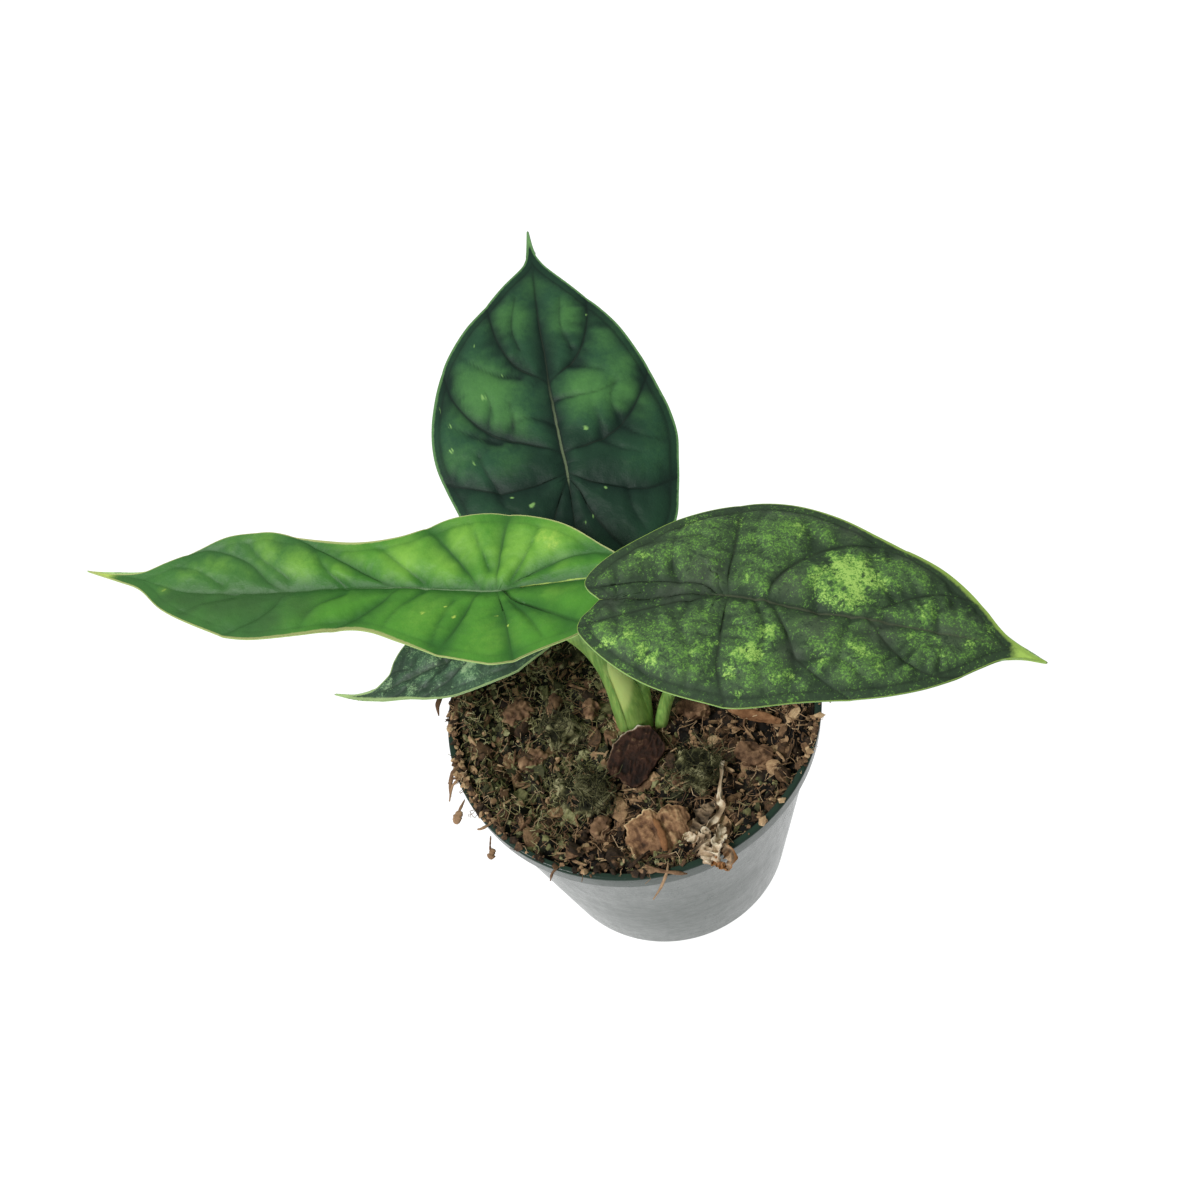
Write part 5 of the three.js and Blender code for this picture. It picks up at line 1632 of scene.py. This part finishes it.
@dataclass(frozen=True)
class BarkMix:
    """The filling of the pot and the loose grains, moss and fibres on it.

    Level is its height before it drops towards the wall, and heap is how high it lies against the wall.
    Bare are round places under larger pieces: x, y and radius.
    """

    pot: Pot
    level: float = 80
    edge_drop: float = 1.8
    edge_band: float = 7
    gap: float = 0.3
    shoulder: float = 7
    heap: float = 8.0
    heap_from: float = 39
    heap_to: float = 48.6
    mound: float = 1.8
    rings: int = 140
    sides: int = 400
    seed: int = 5
    bare: tuple[Place, ...] = ((1.5, -2.5, 4.8), (-3.2, -14.6, 8.5), (-3.2, -37.6, 8.5))

    HEAP_TURNS = (-180, -120, -90, -65, -45, -15, 15, 60, 120, 180)
    HEAP_SHARES = (1, 0.95, 0.9, 0.7, 0.15, 0.7, 1, 0.9, 1, 1)
    LIP_RADII = (50.2, 51.4, 52.6)
    SPILL_TURNS = (0, 180, 205, 225, 315, 335, 360)
    SPILL_SHARES = (1, 1, 0.6, 0.1, 0.1, 0.9, 1)

    def height(self, x: Array, y: Array) -> Array:
        """Broad lumps of the mix, lower against the wall.

        Args:
            x: Places to the right.
            y: Places to the back.

        Returns:
            Height at each place.
        """
        edge = self.pot.wall_radius(self.level) - self.pot.wall
        broad = 1.1 * np.sin(0.31 * x + 1.3) * np.sin(0.27 * y + 0.4)
        lumps = 0.8 * np.sin(0.83 * x - 0.57 * y + 2.1) * np.sin(0.61 * y + 0.49 * x)
        return self.level + broad + lumps - self.edge_drop * ramp(np.hypot(x, y), edge - self.edge_band, edge)

    def ground(self, x: Array, y: Array) -> Array:
        """Height with the crumbs of the surface, heaped against the wall and round the stalks.

        Args:
            x: Places to the right.
            y: Places to the back.

        Returns:
            Height at each place.
        """
        flat = np.stack([x, y, np.zeros_like(x)], axis=-1)
        crumbs = 0.9 * rough(flat, 4.2, 4, self.seed)
        crumbs += 1.8 * np.abs(rough(flat, 3.2, 2, self.seed + 4)) - 0.6
        crumbs += 0.6 * np.abs(rough(flat, 1.1, 2, self.seed + 9))
        mound = self.mound * ramp(np.hypot(x - 2, y + 3), 11, 6)
        return self.height(x, y) + crumbs + mound + self.bank(x, y) - 0.6

    def heaped(self, x: Array, y: Array) -> Array:
        """How high the mix lies against the wall in the direction of a point: lowest at the front right."""
        return self.heap * np.interp(np.degrees(np.arctan2(y, x)), self.HEAP_TURNS, self.HEAP_SHARES)

    def bank(self, x: Array, y: Array) -> Array:
        """How much the heap against the wall adds at places."""
        return self.heaped(x, y) * ramp(np.hypot(x, y), self.heap_from, self.heap_to)

    def skin(self, name: str = "surface", closed: bool = False) -> Object:
        """Makes the fine surface of the mix.

        Args:
            name: Name of the object.
            closed: Closes it by the filling's side and floor.

        Returns:
            The object, with the numbers that finishes and scatters read.
        """
        inner = self.pot.wall + self.gap
        angle = all_round(self.sides)
        brim = self.pot.wall_radius(self.level - 1) - inner
        brim = brim + 2.2 * ramp(self.heaped(np.cos(angle), np.sin(angle)), 3.5, 6)
        radii = np.sqrt(np.linspace(0, 1, self.rings + 1)[1:])[:, None] * brim
        x, y = radii * np.cos(angle), radii * np.sin(angle)
        centre = np.zeros(1)
        points = [np.array([[0, 0, self.ground(centre, centre)[0]]]),
                  np.stack([x, y, self.ground(x, y)], axis=-1).reshape(-1, 3)]
        floor, shoulder = self.pot.floor + self.gap, self.level - self.shoulder
        bands = [(self.pot.wall_radius(z) - inner - inset, z + rise)
                 for z, inset, rise in ((shoulder, 0, 0), (floor, 0, 2), (floor, 1.6, 0))] if closed else []
        for radius, z in bands:
            points.append(np.column_stack([radius * circle(angle), np.full(self.sides, z)]))
        ring = np.arange(self.sides)
        after = (ring + 1) % self.sides
        faces = [[0, 1 + a, 1 + b] for a, b in zip(ring, after)]
        here = 1
        for _ in range(self.rings - 1 + len(bands)):
            there = here + self.sides
            faces += np.stack([here + ring, there + ring, there + after, here + after], 1).tolist()
            here = there
        if closed:
            faces.append([here + i for i in ring[::-1]])
        spots = np.vstack(points)
        mossy, free = self.mossy(spots), self.open(spots)
        return make_mesh(name, spots, faces, tone=self.tone(spots), free=free, moss=free * mossy,
                         bare=free * (1 - 0.75 * mossy))

    def tone(self, points: Array) -> Array:
        """Tone at points: pale where the mix stands up, and dark in its hollows as painted shade."""
        stands = points[:, 2] - self.height(*points.T[:2]) - self.bank(*points.T[:2])
        return 0.75 * ramp(stands, -0.8, 2.4) + 0.12 * rough(points, 1.6, 2, 33)

    def mossy(self, points: Array) -> Array:
        """How mossy the mix is at points: on the left and in patches in front."""
        left = ramp(0.7 * points[:, 1] - 0.8 * points[:, 0], -18, 10)
        return np.clip(left * 0.9 + 0.45 * rough(points * (1, 1, 0), 11, 2, self.seed + 3), 0, 1)

    def open(self, points: Array) -> Array:
        """Where loose grains may lie.

        Args:
            points: Corners of the surface.

        Returns:
            1 where they may, and 0 at the wall and under larger pieces and stalks.
        """
        free = ramp(np.hypot(points[:, 0], points[:, 1]), 50.3, 49.3)
        for x, y, radius in self.bare:
            free = free * ramp(np.hypot(points[:, 0] - x, points[:, 1] - y), radius * 0.75, radius)
        return free

    def lip(self) -> Object:
        """Makes a strip over the pot's lip, free where some of the mix has spilled on it.

        Returns:
            The strip.
        """
        angle = np.arange(360) * math.pi / 180
        radii = np.array(self.LIP_RADII)[:, None]
        z = np.full((3, 360), self.pot.height)
        points = np.stack([radii * np.cos(angle), radii * np.sin(angle), z], axis=-1)
        spilled = np.interp(np.degrees(angle), self.SPILL_TURNS, self.SPILL_SHARES)
        free = spilled * ramp(rough(points[1], 6, 3, 12), -0.8, 0.1)
        rows = np.arange(720).reshape(2, 360)
        after = np.roll(rows, -1, 1)
        faces = np.stack([rows, rows + 360, after + 360, after], axis=-1).reshape(-1, 4).tolist()
        return make_mesh("surface", points.reshape(-1, 3), faces, free=np.tile(free, 3))

    def build(self) -> None:
        """Makes the filling and everything loose on it."""
        filling = Earthy("mix", ("#060505", "#1b140e", "#3f2f20", "#6e553b", "#957a5a"), 2.2, 0.5,
                         ("#080807", "#1d1c14", "#434330", "#787756", "#9c9a78")).material()
        settle(self.skin("bark_mix", closed=True), filling, "soil", "soil")
        crumbs = Earthy("crumbs", ("#120d09", "#36291e", "#694f39", "#9b7c5c", "#c7ac86"), 1.5).material()
        moss = Earthy("moss_grains", ("#1c1d14", "#48482f", "#7a784f", "#a8a67e"), 1.2).material()
        Grains(0.5, 2.2).strew(self.skin(), "crumbs", crumbs, 11, 0.36, Ground.BARE)
        Grains(2, 6.4, 0.6, sink=0.15, sides=10).strew(self.skin(), "bark_bits", crumbs, 12, 0.035)
        Grains(2.5, 7, 0.35, slender=0.2).strew(self.skin(), "splinters", crumbs, 16, 0.07)
        Grains(0.7, 3.2, 0.7).strew(self.lip(), "lip_crumbs", crumbs, 18, 2.6)
        Grains(0.5, 2.6).strew(self.skin(), "moss_grains", moss, 13, 0.32, Ground.MOSSY, "moss")
        Grains(2.4, 6, 0.8, sink=0.1).strew(self.skin(), "moss_clumps", moss, 17, 0.03, Ground.MOSSY, "moss")
        green = Earthy("moss_strands", ("#36371f", "#757449", "#aba574", "#d8d2a5"), 2).material()
        brown = Earthy("fibres", ("#463224", "#7b5c43", "#ab8b69", "#ceb592"), 3).material()
        Strands(5, 0.22, 1.4, 1.1).strew(self.skin(), "moss_strands", green, 14, 0.3, Ground.MOSSY, "moss")
        Strands(7, 0.25, 1.3, 1.45).strew(self.skin(), "fibres", brown, 15, 0.12)
        Strands(5, 0.25, 1.3, 1.5).strew(self.lip(), "lip_fibres", brown, 19, 0.5)


# Loose pieces


@dataclass(frozen=True)
class Loose:
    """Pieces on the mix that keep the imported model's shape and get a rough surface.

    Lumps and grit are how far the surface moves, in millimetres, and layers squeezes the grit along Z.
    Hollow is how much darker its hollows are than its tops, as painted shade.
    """

    nodes: tuple[str, ...]
    slot: str
    shades: tuple[str, ...]
    lumps: float = 0.5
    lump_size: float = 4
    grit: float = 0.25
    layers: float = 1
    voxel: float = 0.38
    tone: float = 0.5
    hollow: float = 0.3
    strands: float = 0.0

    def build(self) -> None:
        """Makes one piece for each node."""
        finish = Earthy(self.nodes[0], self.shades, 2.2, 0.25).material()
        for number, node in enumerate(self.nodes):
            copy = linked(f"rough_{node}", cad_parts[node].data.copy())
            weld = copy.modifiers.new("weld", "WELD")
            weld.merge_threshold = 1e-6
            remesh = copy.modifiers.new("fine", "REMESH")
            remesh.mode = "VOXEL"
            remesh.voxel_size = self.voxel * MM
            remesh.use_smooth_shade = True
            piece = applied(copy, f"rough_{node}")
            points, normals = corners_of(piece, "co") / MM, corners_of(piece, "normal")
            fine = rough(points * (1, 1, self.layers), 1.1, 3, 60 + number)
            move = self.lumps * rough(points, self.lump_size, 3, 50 + number) + self.grit * fine
            piece.data.vertices.foreach_set("co", ((points + normals * move[:, None]) * MM).ravel())
            piece.data.update()
            middle, size = points.mean(0), np.ptp(points, axis=0)
            rim = np.linalg.norm((points - middle)[:, :2] / size[:2], axis=1) * 2
            tone = self.tone + 0.3 * (number * 0.618 % 1 - 0.3)
            tone = tone + 0.25 * rough(points, 3, 2, 70 + number) + 0.15 * fine
            # Painted shade and light: the hollow term darkens the hollows of the rough surface and lightens
            # its tops.
            tone += 0.3 * ramp(rim, 0.75, 1) + self.hollow * ramp(move, -0.8, 1.2) - self.hollow / 2
            free = ramp(normals[:, 2], -0.2, 0.3) * ramp(move, -0.4, 0.6)
            write_values(piece.data, {"tone": tone, "free": free})
            if self.strands:
                surface = linked("surface", piece.data.copy())
                strands = Strands(8, 0.25, 1.8, 1.3)
                strands.strew(surface, f"strands_{node}", finish, 80 + number, self.strands, slot=self.slot)
            settle(piece, finish, self.slot, node)


LOOSE = (
    Loose(("bark_strip",), "bark", ("#4a3122", "#6d4a30", "#8a6546", "#a98363"), 0.2, 4, 0.15, 3),
    Loose(tuple(f"bark_chip_{i}" for i in range(1, 10)), "bark",
        ("#1c130d", "#483323", "#7a5d45", "#a98a69"), 0.9, 2.4, 0.45),
    Loose(("moss_left", "moss_far_left", "moss_right", "moss_back"), "moss",
        ("#090a06", "#2b2b19", "#5c5a3b", "#a19c76"), 1.9, 3.2, 0.7, tone=0.45, hollow=0.8, strands=0.8),
)


@dataclass(frozen=True)
class Slab:
    """A flat piece of bark: its rim seen from above, how far its middle stands up, and its ridges.

    The ridges run along a heading in degrees. The rim is paler where it faces the heading of its lit edge, a
    painted highlight.
    """

    node: str
    rim: Points
    thickness: float
    crown: float
    shades: tuple[str, ...]
    ridges: float = 0.4
    heading: float = 90
    ragged: float = 0.5
    highlight_heading: float = 120
    rows: int = 32
    sides: int = 170

    def build(self) -> None:
        """Makes the closed slab."""
        around = np.arange(self.sides) / self.sides
        outline = smooth_curve([*self.rim, self.rim[0]], around)
        middle = outline.mean(0)
        outline += unit(outline - middle) * (self.ragged * rough(outline, 1.6, 3, 41))[:, None]
        turn = math.radians(self.heading)
        run = np.array([math.cos(turn), math.sin(turn), 0])
        side = np.array([-math.sin(turn), math.cos(turn), 0])
        shares = np.linspace(1, 0.02, self.rows) ** 0.8
        spread = middle + (outline - middle) * shares[:, None, None]
        grain = np.stack([spread @ run / 4, spread @ side, 0 * spread[..., 0]], axis=-1)
        ridge = 1 - 2 * np.abs(rough(grain, 1.1, 3, 43))
        lump, grit = rough(spread, 3.5, 3, 44), rough(spread, 0.9, 2, 45)
        rise = self.crown * (1 - shares[:, None] ** 2) + self.ridges * (ridge - 0.5)
        rise = rise + 0.7 * lump + 0.25 * grit
        thin = self.thickness * (0.35 + 0.65 * ramp(shares, 1, 0.8))[:, None]
        top = spread + np.stack([0 * rise, 0 * rise, rise], axis=-1)
        bottom = spread + np.stack([0 * rise, 0 * rise, rise - thin], axis=-1)
        points, faces = loft(np.concatenate([bottom[::-1], top]))
        highlight_heading = math.radians(self.highlight_heading)
        facing = unit(outline - middle) @ (math.cos(highlight_heading), math.sin(highlight_heading), 0)
        # Painted highlight: the rim is paler on the side that faces the lit edge's heading.
        pale = ramp(shares, 0.9, 1)[:, None] * (0.15 + 0.65 * ramp(facing, 0.3, 0.9))
        tone = 0.35 + 0.15 * (ridge - 0.5) + 0.2 * lump + 0.15 * grit + pale
        piece = make_mesh(f"{self.node}_slab", points, faces, tone=np.concatenate([tone[::-1], tone]).ravel())
        settle(piece, Earthy(self.node, self.shades, 2, 0.25).material(), "bark", self.node)


SLABS = (
    Slab("bark_disc", [(-3.5, -7.5, 87.2), (2.5, -7.8, 87.5), (5, -11.3, 86.5), (5.3, -14.8, 85.4),
        (1.8, -18.4, 84.1), (-2.3, -21.3, 82.9), (-4.4, -22.3, 82.5), (-6.7, -21.6, 82.6),
        (-10.3, -18.2, 83.5), (-11.5, -15, 84.4), (-8.2, -10, 86.2)], 2.6, 0.8,
        ("#0d0806", "#21130d", "#382117", "#6a533f", "#bdb3a2"), 0.2, 60, 0.35, 115),
    Slab("bark_flake", [(-11.3, -34, 84.5), (-8.9, -32.4, 84.6), (-3.4, -31.1, 85), (-1.4, -32.9, 84.4),
        (0.6, -31.6, 85), (5, -32.5, 84.8), (6.7, -36.3, 84.2), (5.2, -38.5, 84), (4.2, -43.2, 83.5),
        (0.2, -45.5, 83.6), (-4.2, -44.6, 84), (-9.3, -45.5, 83.8), (-13, -43.5, 83.5), (-11.4, -41.7, 83.7),
        (-11.6, -38.4, 84)], 1.4, 1.4, ("#33231a", "#654833", "#8f6d4f", "#b3946f", "#cfb68f"), 0.15, 96,
        0.8, 100),
)


@dataclass(frozen=True)
class Ribbon:
    """One crumpled part of the withered leaf: its middle, half-widths, cupping, twist and shade."""

    middle: Points
    half: tuple[float, ...]
    cup: float = 1.0
    twist: float = 0.0
    crumple: float = 1.0
    shade: float = 0.5
    brown: float = 0.0
    stations: int = 70
    columns: int = 20

    THICKNESS = 0.28

    def sheet(self, seed: int) -> tuple[Array, Faces, Array, Array]:
        """Crumples one part of the leaf.

        Args:
            seed: Picks its folds.

        Returns:
            Points and faces of the closed sheet, and the tone and the brownness of each point.
        """
        t = np.linspace(0, 1, self.stations + 1)
        middle = smooth_curve(self.middle, t)
        tangent = unit(np.gradient(middle, axis=0))
        level = unit(np.cross(tangent, (0.1, 0.2, 1)))
        twist = (self.twist * np.sin(t * 5 + seed))[:, None]
        across = level * np.cos(twist) + np.cross(tangent, level) * np.sin(twist)
        up = np.cross(across, tangent)
        u = np.linspace(-1, 1, self.columns + 1)
        place = np.stack([t * 12, 0 * t + seed, 0 * t], axis=1)
        sides = [1 + 0.4 * value_noise(place + (0, 9 * k, 0), 4) for k in (0, 1)]
        half = np.interp(t, np.linspace(0, 1, len(self.half)), self.half)
        width = np.where(u[None] < 0, sides[0][:, None], sides[1][:, None]) * half[:, None] * u
        flat = np.stack(np.broadcast_arrays(t[:, None] * 14, width, seed * 5.0), axis=-1)
        folds = 1 - 2 * np.abs(rough(flat * (1, 0.7, 1), 2.2, 3, 21))
        calm = ramp(np.minimum(t, 1 - t), 0, 0.08)[:, None] * np.minimum(half / 1.6, 1)[:, None]
        lift = self.cup * (u**2 - 0.4) * half[:, None] * 0.5 + self.crumple * (folds - 0.4) * calm
        slide = 0.5 * rough(flat, 1.8, 2, 31) * calm
        sheet = middle[:, None] + across[:, None] * (width + slide)[..., None] + up[:, None] * lift[..., None]
        skin = up[:, None] * self.THICKNESS / 2
        points, faces = loft(np.concatenate([sheet + skin, (sheet - skin)[:, ::-1]], axis=1))
        # Painted light and shade: the tone rises on the fold crests and falls in the troughs.
        tone = self.shade + 0.1 + 0.3 * (folds - 0.3) + 0.15 * rough(flat, 3, 2, 9)
        brown = np.broadcast_to(self.brown + ramp(np.abs(u), 0.6, 1) * 0.35, tone.shape)
        tone, brown = (np.concatenate([part, part[:, ::-1]], axis=1).ravel() for part in (tone, brown))
        return points, faces, tone, brown


@dataclass(frozen=True)
class DryLeaf:
    """The withered leaf over the rim: its thin stalk, and the lobes it has shrunk to."""

    parts: tuple[Ribbon, ...] = (
        Ribbon([(19.6, -22.5, 82.6), (18.6, -25.9, 83.4), (16.6, -32.1, 85), (15.5, -35.6, 86),
            (15.7, -37.8, 86.4), (13.3, -40.1, 86.6), (10.7, -42.1, 87), (9, -43.9, 87.6)],
            (0.5, 0.8, 1.2, 0.9, 0.7, 0.8, 0.9), 1, 1.2, 0.4, 0.62),
        Ribbon([(14.5, -34.6, 84.5), (11.7, -36.8, 85), (8.8, -39.4, 85.4), (5.5, -42.4, 85.6)],
            (0.4, 1.9, 2.4, 1.8, 0.5), 0.8, 0.3, 0.7, 0.2),
        Ribbon([(8.6, -46.6, 88.6), (6.3, -45.5, 88), (5, -43.9, 87.4), (3.8, -42.3, 86.4)],
            (1.6, 1.4, 1.2, 0.5), 1, 0.5, 0.7, 0.55),
        Ribbon([(9.2, -42.2, 87), (9.3, -45.6, 88.4), (8.4, -48.6, 89.6), (8, -51.3, 89.8),
            (6.9, -53.4, 88.8)], (0.8, 1.9, 2.2, 2, 1.3), -1.4, 0.5, 1.4, 0.5),
        Ribbon([(13.8, -42.4, 86.6), (12.6, -46.5, 88.8), (11.2, -49.6, 90.4), (10.7, -52.2, 90.6),
            (9.3, -53.8, 89.6)], (0.8, 1.8, 1.7, 1.6, 0.9), 1.8, 0.6, 1.2, 0.66),
        Ribbon([(12.6, -45.5, 87.6), (13, -48.5, 89), (12.8, -51.4, 89.8), (13.3, -54, 89), (11.5, -56, 87)],
            (0.7, 1.3, 1.2, 1.5, 0.6), -1, 0.8, 0.9, 0.5, 0.5),
        Ribbon([(7.4, -51.5, 89.2), (9.1, -53.7, 89.2), (10.6, -55, 88.6), (12, -56.2, 87.4)],
            (0.6, 1.2, 1.1, 0.5), 1, 0.5, 0.8, 0.4, 0.9),
    )

    def build(self) -> None:
        """Makes the crumpled leaf."""
        sheets = [part.sheet(number) for number, part in enumerate(self.parts)]
        tone, brown = (np.concatenate([sheet[kind] for sheet in sheets]) for kind in (2, 3))
        piece = make_mesh("withered_leaf", *joined([sheet[:2] for sheet in sheets]), tone=tone, brown=brown)
        settle(piece, self.material(), "dry_leaf", "dry_leaf")

    @staticmethod
    def material() -> Material:
        """Builds the papery surface: grey tan, with browner edges and tip.

        Returns:
            The material.
        """
        s = Shader("withered")
        cloud = s.noise(2.2, 4, 0.65)
        fibre = s.noise(0.5, 3, 0.6)
        base = s.shades(s.attribute("tone") + (cloud - 0.5) * 0.8,
                        [(0, "#2e261d"), (0.35, "#6b5946"), (0.65, "#a48d72"), (1, "#d6c7af")])
        brown = s.attribute("brown") + (cloud - 0.5) * 1.2
        base = s.mix(brown.step(0.3, 0.9) * 0.75, base, "#94602f")
        return s.finish(base, 0.8, s.bump(fibre, 0.1, s.bump(cloud, 0.25)), Specular_IOR_Level=0.25)


@dataclass(frozen=True)
class Scrap:
    """A thin fibre or crumb that hangs over the rim: its path, radius and how flat it is."""

    path: Points
    radius: float = 0.35
    flat: float = 1.0

    def rings(self) -> Array:
        """Draws its tapered tube.

        Returns:
            Points of the tube, one row for each ring.
        """
        t = np.linspace(0, 1, 19)
        middle = smooth_curve(self.path, t)
        tangent = unit(np.gradient(middle, axis=0))
        across = unit(np.cross(tangent, (0.1, 0.2, 1)))
        beside = np.cross(tangent, across)
        angle = all_round(8, 0.5)
        swell = self.radius * (0.25 + 0.75 * np.sin(math.pi * np.clip(t, 0.04, 0.96)) ** 0.6)
        swell = swell * (1 + 0.35 * value_noise(np.stack([t * 9, t * 0, t * 0 + self.path[0][0]], 1), 6))
        return (middle[:, None] + across[:, None] * (swell[:, None] * np.cos(angle))[..., None]
                + beside[:, None] * (swell[:, None] * np.sin(angle) * self.flat)[..., None])


SCRAPS = (
    Scrap([(-48.5, 21, 88.2), (-51, 20, 89), (-53.4, 17.6, 88.4), (-54, 14.6, 87)], 0.7, 0.5),
    Scrap([(-50.6, -3.5, 88.4), (-53.2, -5.6, 88.8), (-54.8, -8.6, 87.6), (-55.6, -11.5, 86.4)], 0.6, 0.6),
    Scrap([(-50.4, -6.6, 88.3), (-53, -8.8, 88.8), (-54.6, -9.4, 87.4), (-56.2, -12.6, 86)], 0.45, 0.6),
    Scrap([(-51, -8.5, 88.3), (-53.4, -7.4, 88.6), (-55.4, -7.6, 87.2)], 0.4, 0.5),
    Scrap([(-51.6, -14.6, 88.3), (-53.6, -17.2, 88.2), (-54.8, -18.6, 87.4)], 0.4),
    Scrap([(-53.4, -17.4, 87.8), (-54.8, -18.8, 87.2), (-55.6, -20.2, 86.4)], 1.3, 0.7),
    Scrap([(-46.8, -27.6, 88.3), (-47.6, -30.6, 88.2), (-48, -32.6, 87.2)], 0.3),
    Scrap([(-46.8, -31.4, 88), (-47.8, -32.6, 87.4), (-48.4, -33.6, 86.8)], 1.1, 0.8),
    Scrap([(-2.5, -49.6, 88.2), (-3.6, -52.6, 88.8), (-6, -55.2, 87), (-9, -57, 84.6)], 0.4, 0.6),
    Scrap([(-8.6, -48.6, 88.2), (-5.5, -51.4, 88.7), (-1.5, -53.2, 88.5), (1.5, -53.9, 87.2)], 0.6, 0.7),
    Scrap([(-11, -49.4, 88.2), (-8.6, -50.6, 88.8), (-6, -51.2, 88.4)], 0.9, 0.6),
    Scrap([(49, -12, 88.2), (51.6, -14.6, 88.9), (52.6, -17.4, 88)], 0.4),
    Scrap([(48.2, -4.6, 88.2), (51, -5.4, 89.2), (53, -6.8, 88.8)], 0.5, 0.5),
    Scrap([(-46, -24, 88.2), (-48.8, -25, 88.9), (-50, -24.4, 88.2)], 0.45, 0.6),
    Scrap([(-31, -42.2, 88.3), (-32.8, -43.4, 88.6), (-34, -45, 87.6)], 0.35),
)
SPLINTER = Scrap([(-3, -35.6, 86.6), (-2.4, -38, 87), (-2.1, -41, 86.6), (-2.2, -44, 86),
    (-2.5, -46.4, 85.2)], 1.0, 0.6)


class RimScraps:
    """The scraps that hang over the rim, and the splinter on the flake."""

    def build(self) -> None:
        """Makes the splinter, and the scraps as one piece."""
        points, faces = loft(SPLINTER.rings())
        splinter = make_mesh("splinter", points, faces, tone=np.full(len(points), 0.55))
        settle(splinter, Earthy("splinter", ("#4a3020", "#7c5537", "#a6784f"), 1.5).material(), "bark")
        skins = [loft(scrap.rings()) for scrap in SCRAPS]
        tones = [np.full(len(skin[0]), 0.2 + 0.6 * (number * 0.37 % 1)) for number, skin in enumerate(skins)]
        piece = make_mesh("rim_scraps", *joined(skins), tone=np.concatenate(tones))
        settle(piece, Earthy("scraps", ("#3a291d", "#6b4f3a", "#94765a", "#b89a78"), 1.5).material(), "soil")


# Scene


class Stage:
    """Camera, lights, world and floor."""

    EYE = (-0.38, -234.0, 489.37)
    UP = (0.2802, 0.7958, 0.5368)
    AHEAD = (0.0, 0.5592, -0.829)
    LENS = 49.5
    SENSOR = 36.0
    FLOOR_REACH = 3000
    FLOOR_GLOW = 1.0
    SKY = (0.92, 0.97, 1.0, 1)
    SKY_STRENGTH = 0.22

    def camera(self) -> None:
        """Places the camera at the photograph's viewing angle."""
        data = bpy.data.cameras.new("camera")
        data.lens = self.LENS
        data.sensor_width = self.SENSOR
        data.clip_start = 0.01
        eye = linked("camera", data)
        ahead = Vector(self.AHEAD).normalized()
        across = ahead.cross(Vector(self.UP)).normalized()
        axes = Matrix((across, across.cross(ahead), -ahead)).transposed()
        eye.matrix_world = Matrix.Translation(Vector(self.EYE) * MM) @ axes.to_4x4()
        bpy.context.scene.camera = eye

    def lamp(self, name: str, place: Sequence[float], size: tuple[float, float], power: float,
             aim: Sequence[float] = (0, 0, 0.1), shines: bool = True) -> None:
        """Adds a flat soft light.

        Args:
            name: Its name.
            place: Its place in metres.
            size: Its width and height in metres.
            power: Its power in watts.
            aim: The point that it faces.
            shines: Shows in reflections.
        """
        data = bpy.data.lights.new(name, "AREA")
        data.shape = "RECTANGLE"
        data.size, data.size_y = size
        data.energy = power
        lamp = linked(name, data)
        lamp.visible_glossy = shines
        spot = Vector(place)
        turn = (Vector(aim) - spot).to_track_quat("-Z", "Y")
        lamp.matrix_world = Matrix.Translation(spot) @ turn.to_matrix().to_4x4()

    def floor(self) -> None:
        """Makes a plain pale floor, lit a little from within so that it stays even."""
        reach = self.FLOOR_REACH
        corners = [(-reach, -reach, 0), (reach, -reach, 0), (reach, reach, 0), (-reach, reach, 0)]
        floor = make_mesh("floor", np.array(corners, float), [[0, 1, 2, 3]])
        s = Shader("floor")
        shade = s.mix(s.noise(400, 2), "#626260", "#686867")
        white = s.finish(shade, 0.6, None, Emission_Color=(1, 1, 1, 1), Emission_Strength=self.FLOOR_GLOW)
        white.cycles.emission_sampling = "NONE"
        floor.data.materials.append(white)

    def build(self) -> None:
        """Makes the whole stage."""
        scene = bpy.context.scene
        scene.view_settings.view_transform = "Standard"
        world = bpy.data.worlds.new("studio")
        world.use_nodes = True
        sky = world.node_tree.nodes["Background"]
        sky.inputs["Color"].default_value = self.SKY
        sky.inputs["Strength"].default_value = self.SKY_STRENGTH
        scene.world = world
        self.camera()
        self.floor()
        self.lamp("key", (-0.52, -0.18, 0.8), (0.28, 0.28), 6.8)
        self.lamp("top", (0.25, 0.5, 0.8), (0.3, 0.3), 2.2, shines=False)
        self.lamp("fill", (-0.3, -0.7, 0.5), (0.8, 0.6), 2.2, shines=False)
        self.lamp("panel", (0.1, 0.8, 0.4), (1.4, 0.7), 0.7)


def main() -> None:
    """Builds the stage and every piece of the plant, in order."""
    logging.basicConfig(level=logging.INFO, format="%(message)s")
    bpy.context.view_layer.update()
    Stage().build()
    pot = Pot()
    pot.build()
    BarkMix(pot).build()
    for part in (*LOOSE, *SLABS, DryLeaf(), RimScraps()):
        part.build()
    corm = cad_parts["corm"].data
    corm.materials.clear()
    corm.materials.append(Earthy("corm", ("#3d2a1d", "#6d4c33", "#8e6b4c")).material())
    log.info("corm: the packed shape")
    for blade in BLADES:
        blade.build()
    stalk = StalkFinish().material()
    for one in STALKS:
        one.build(stalk)


if __name__ == "__main__":
    main()
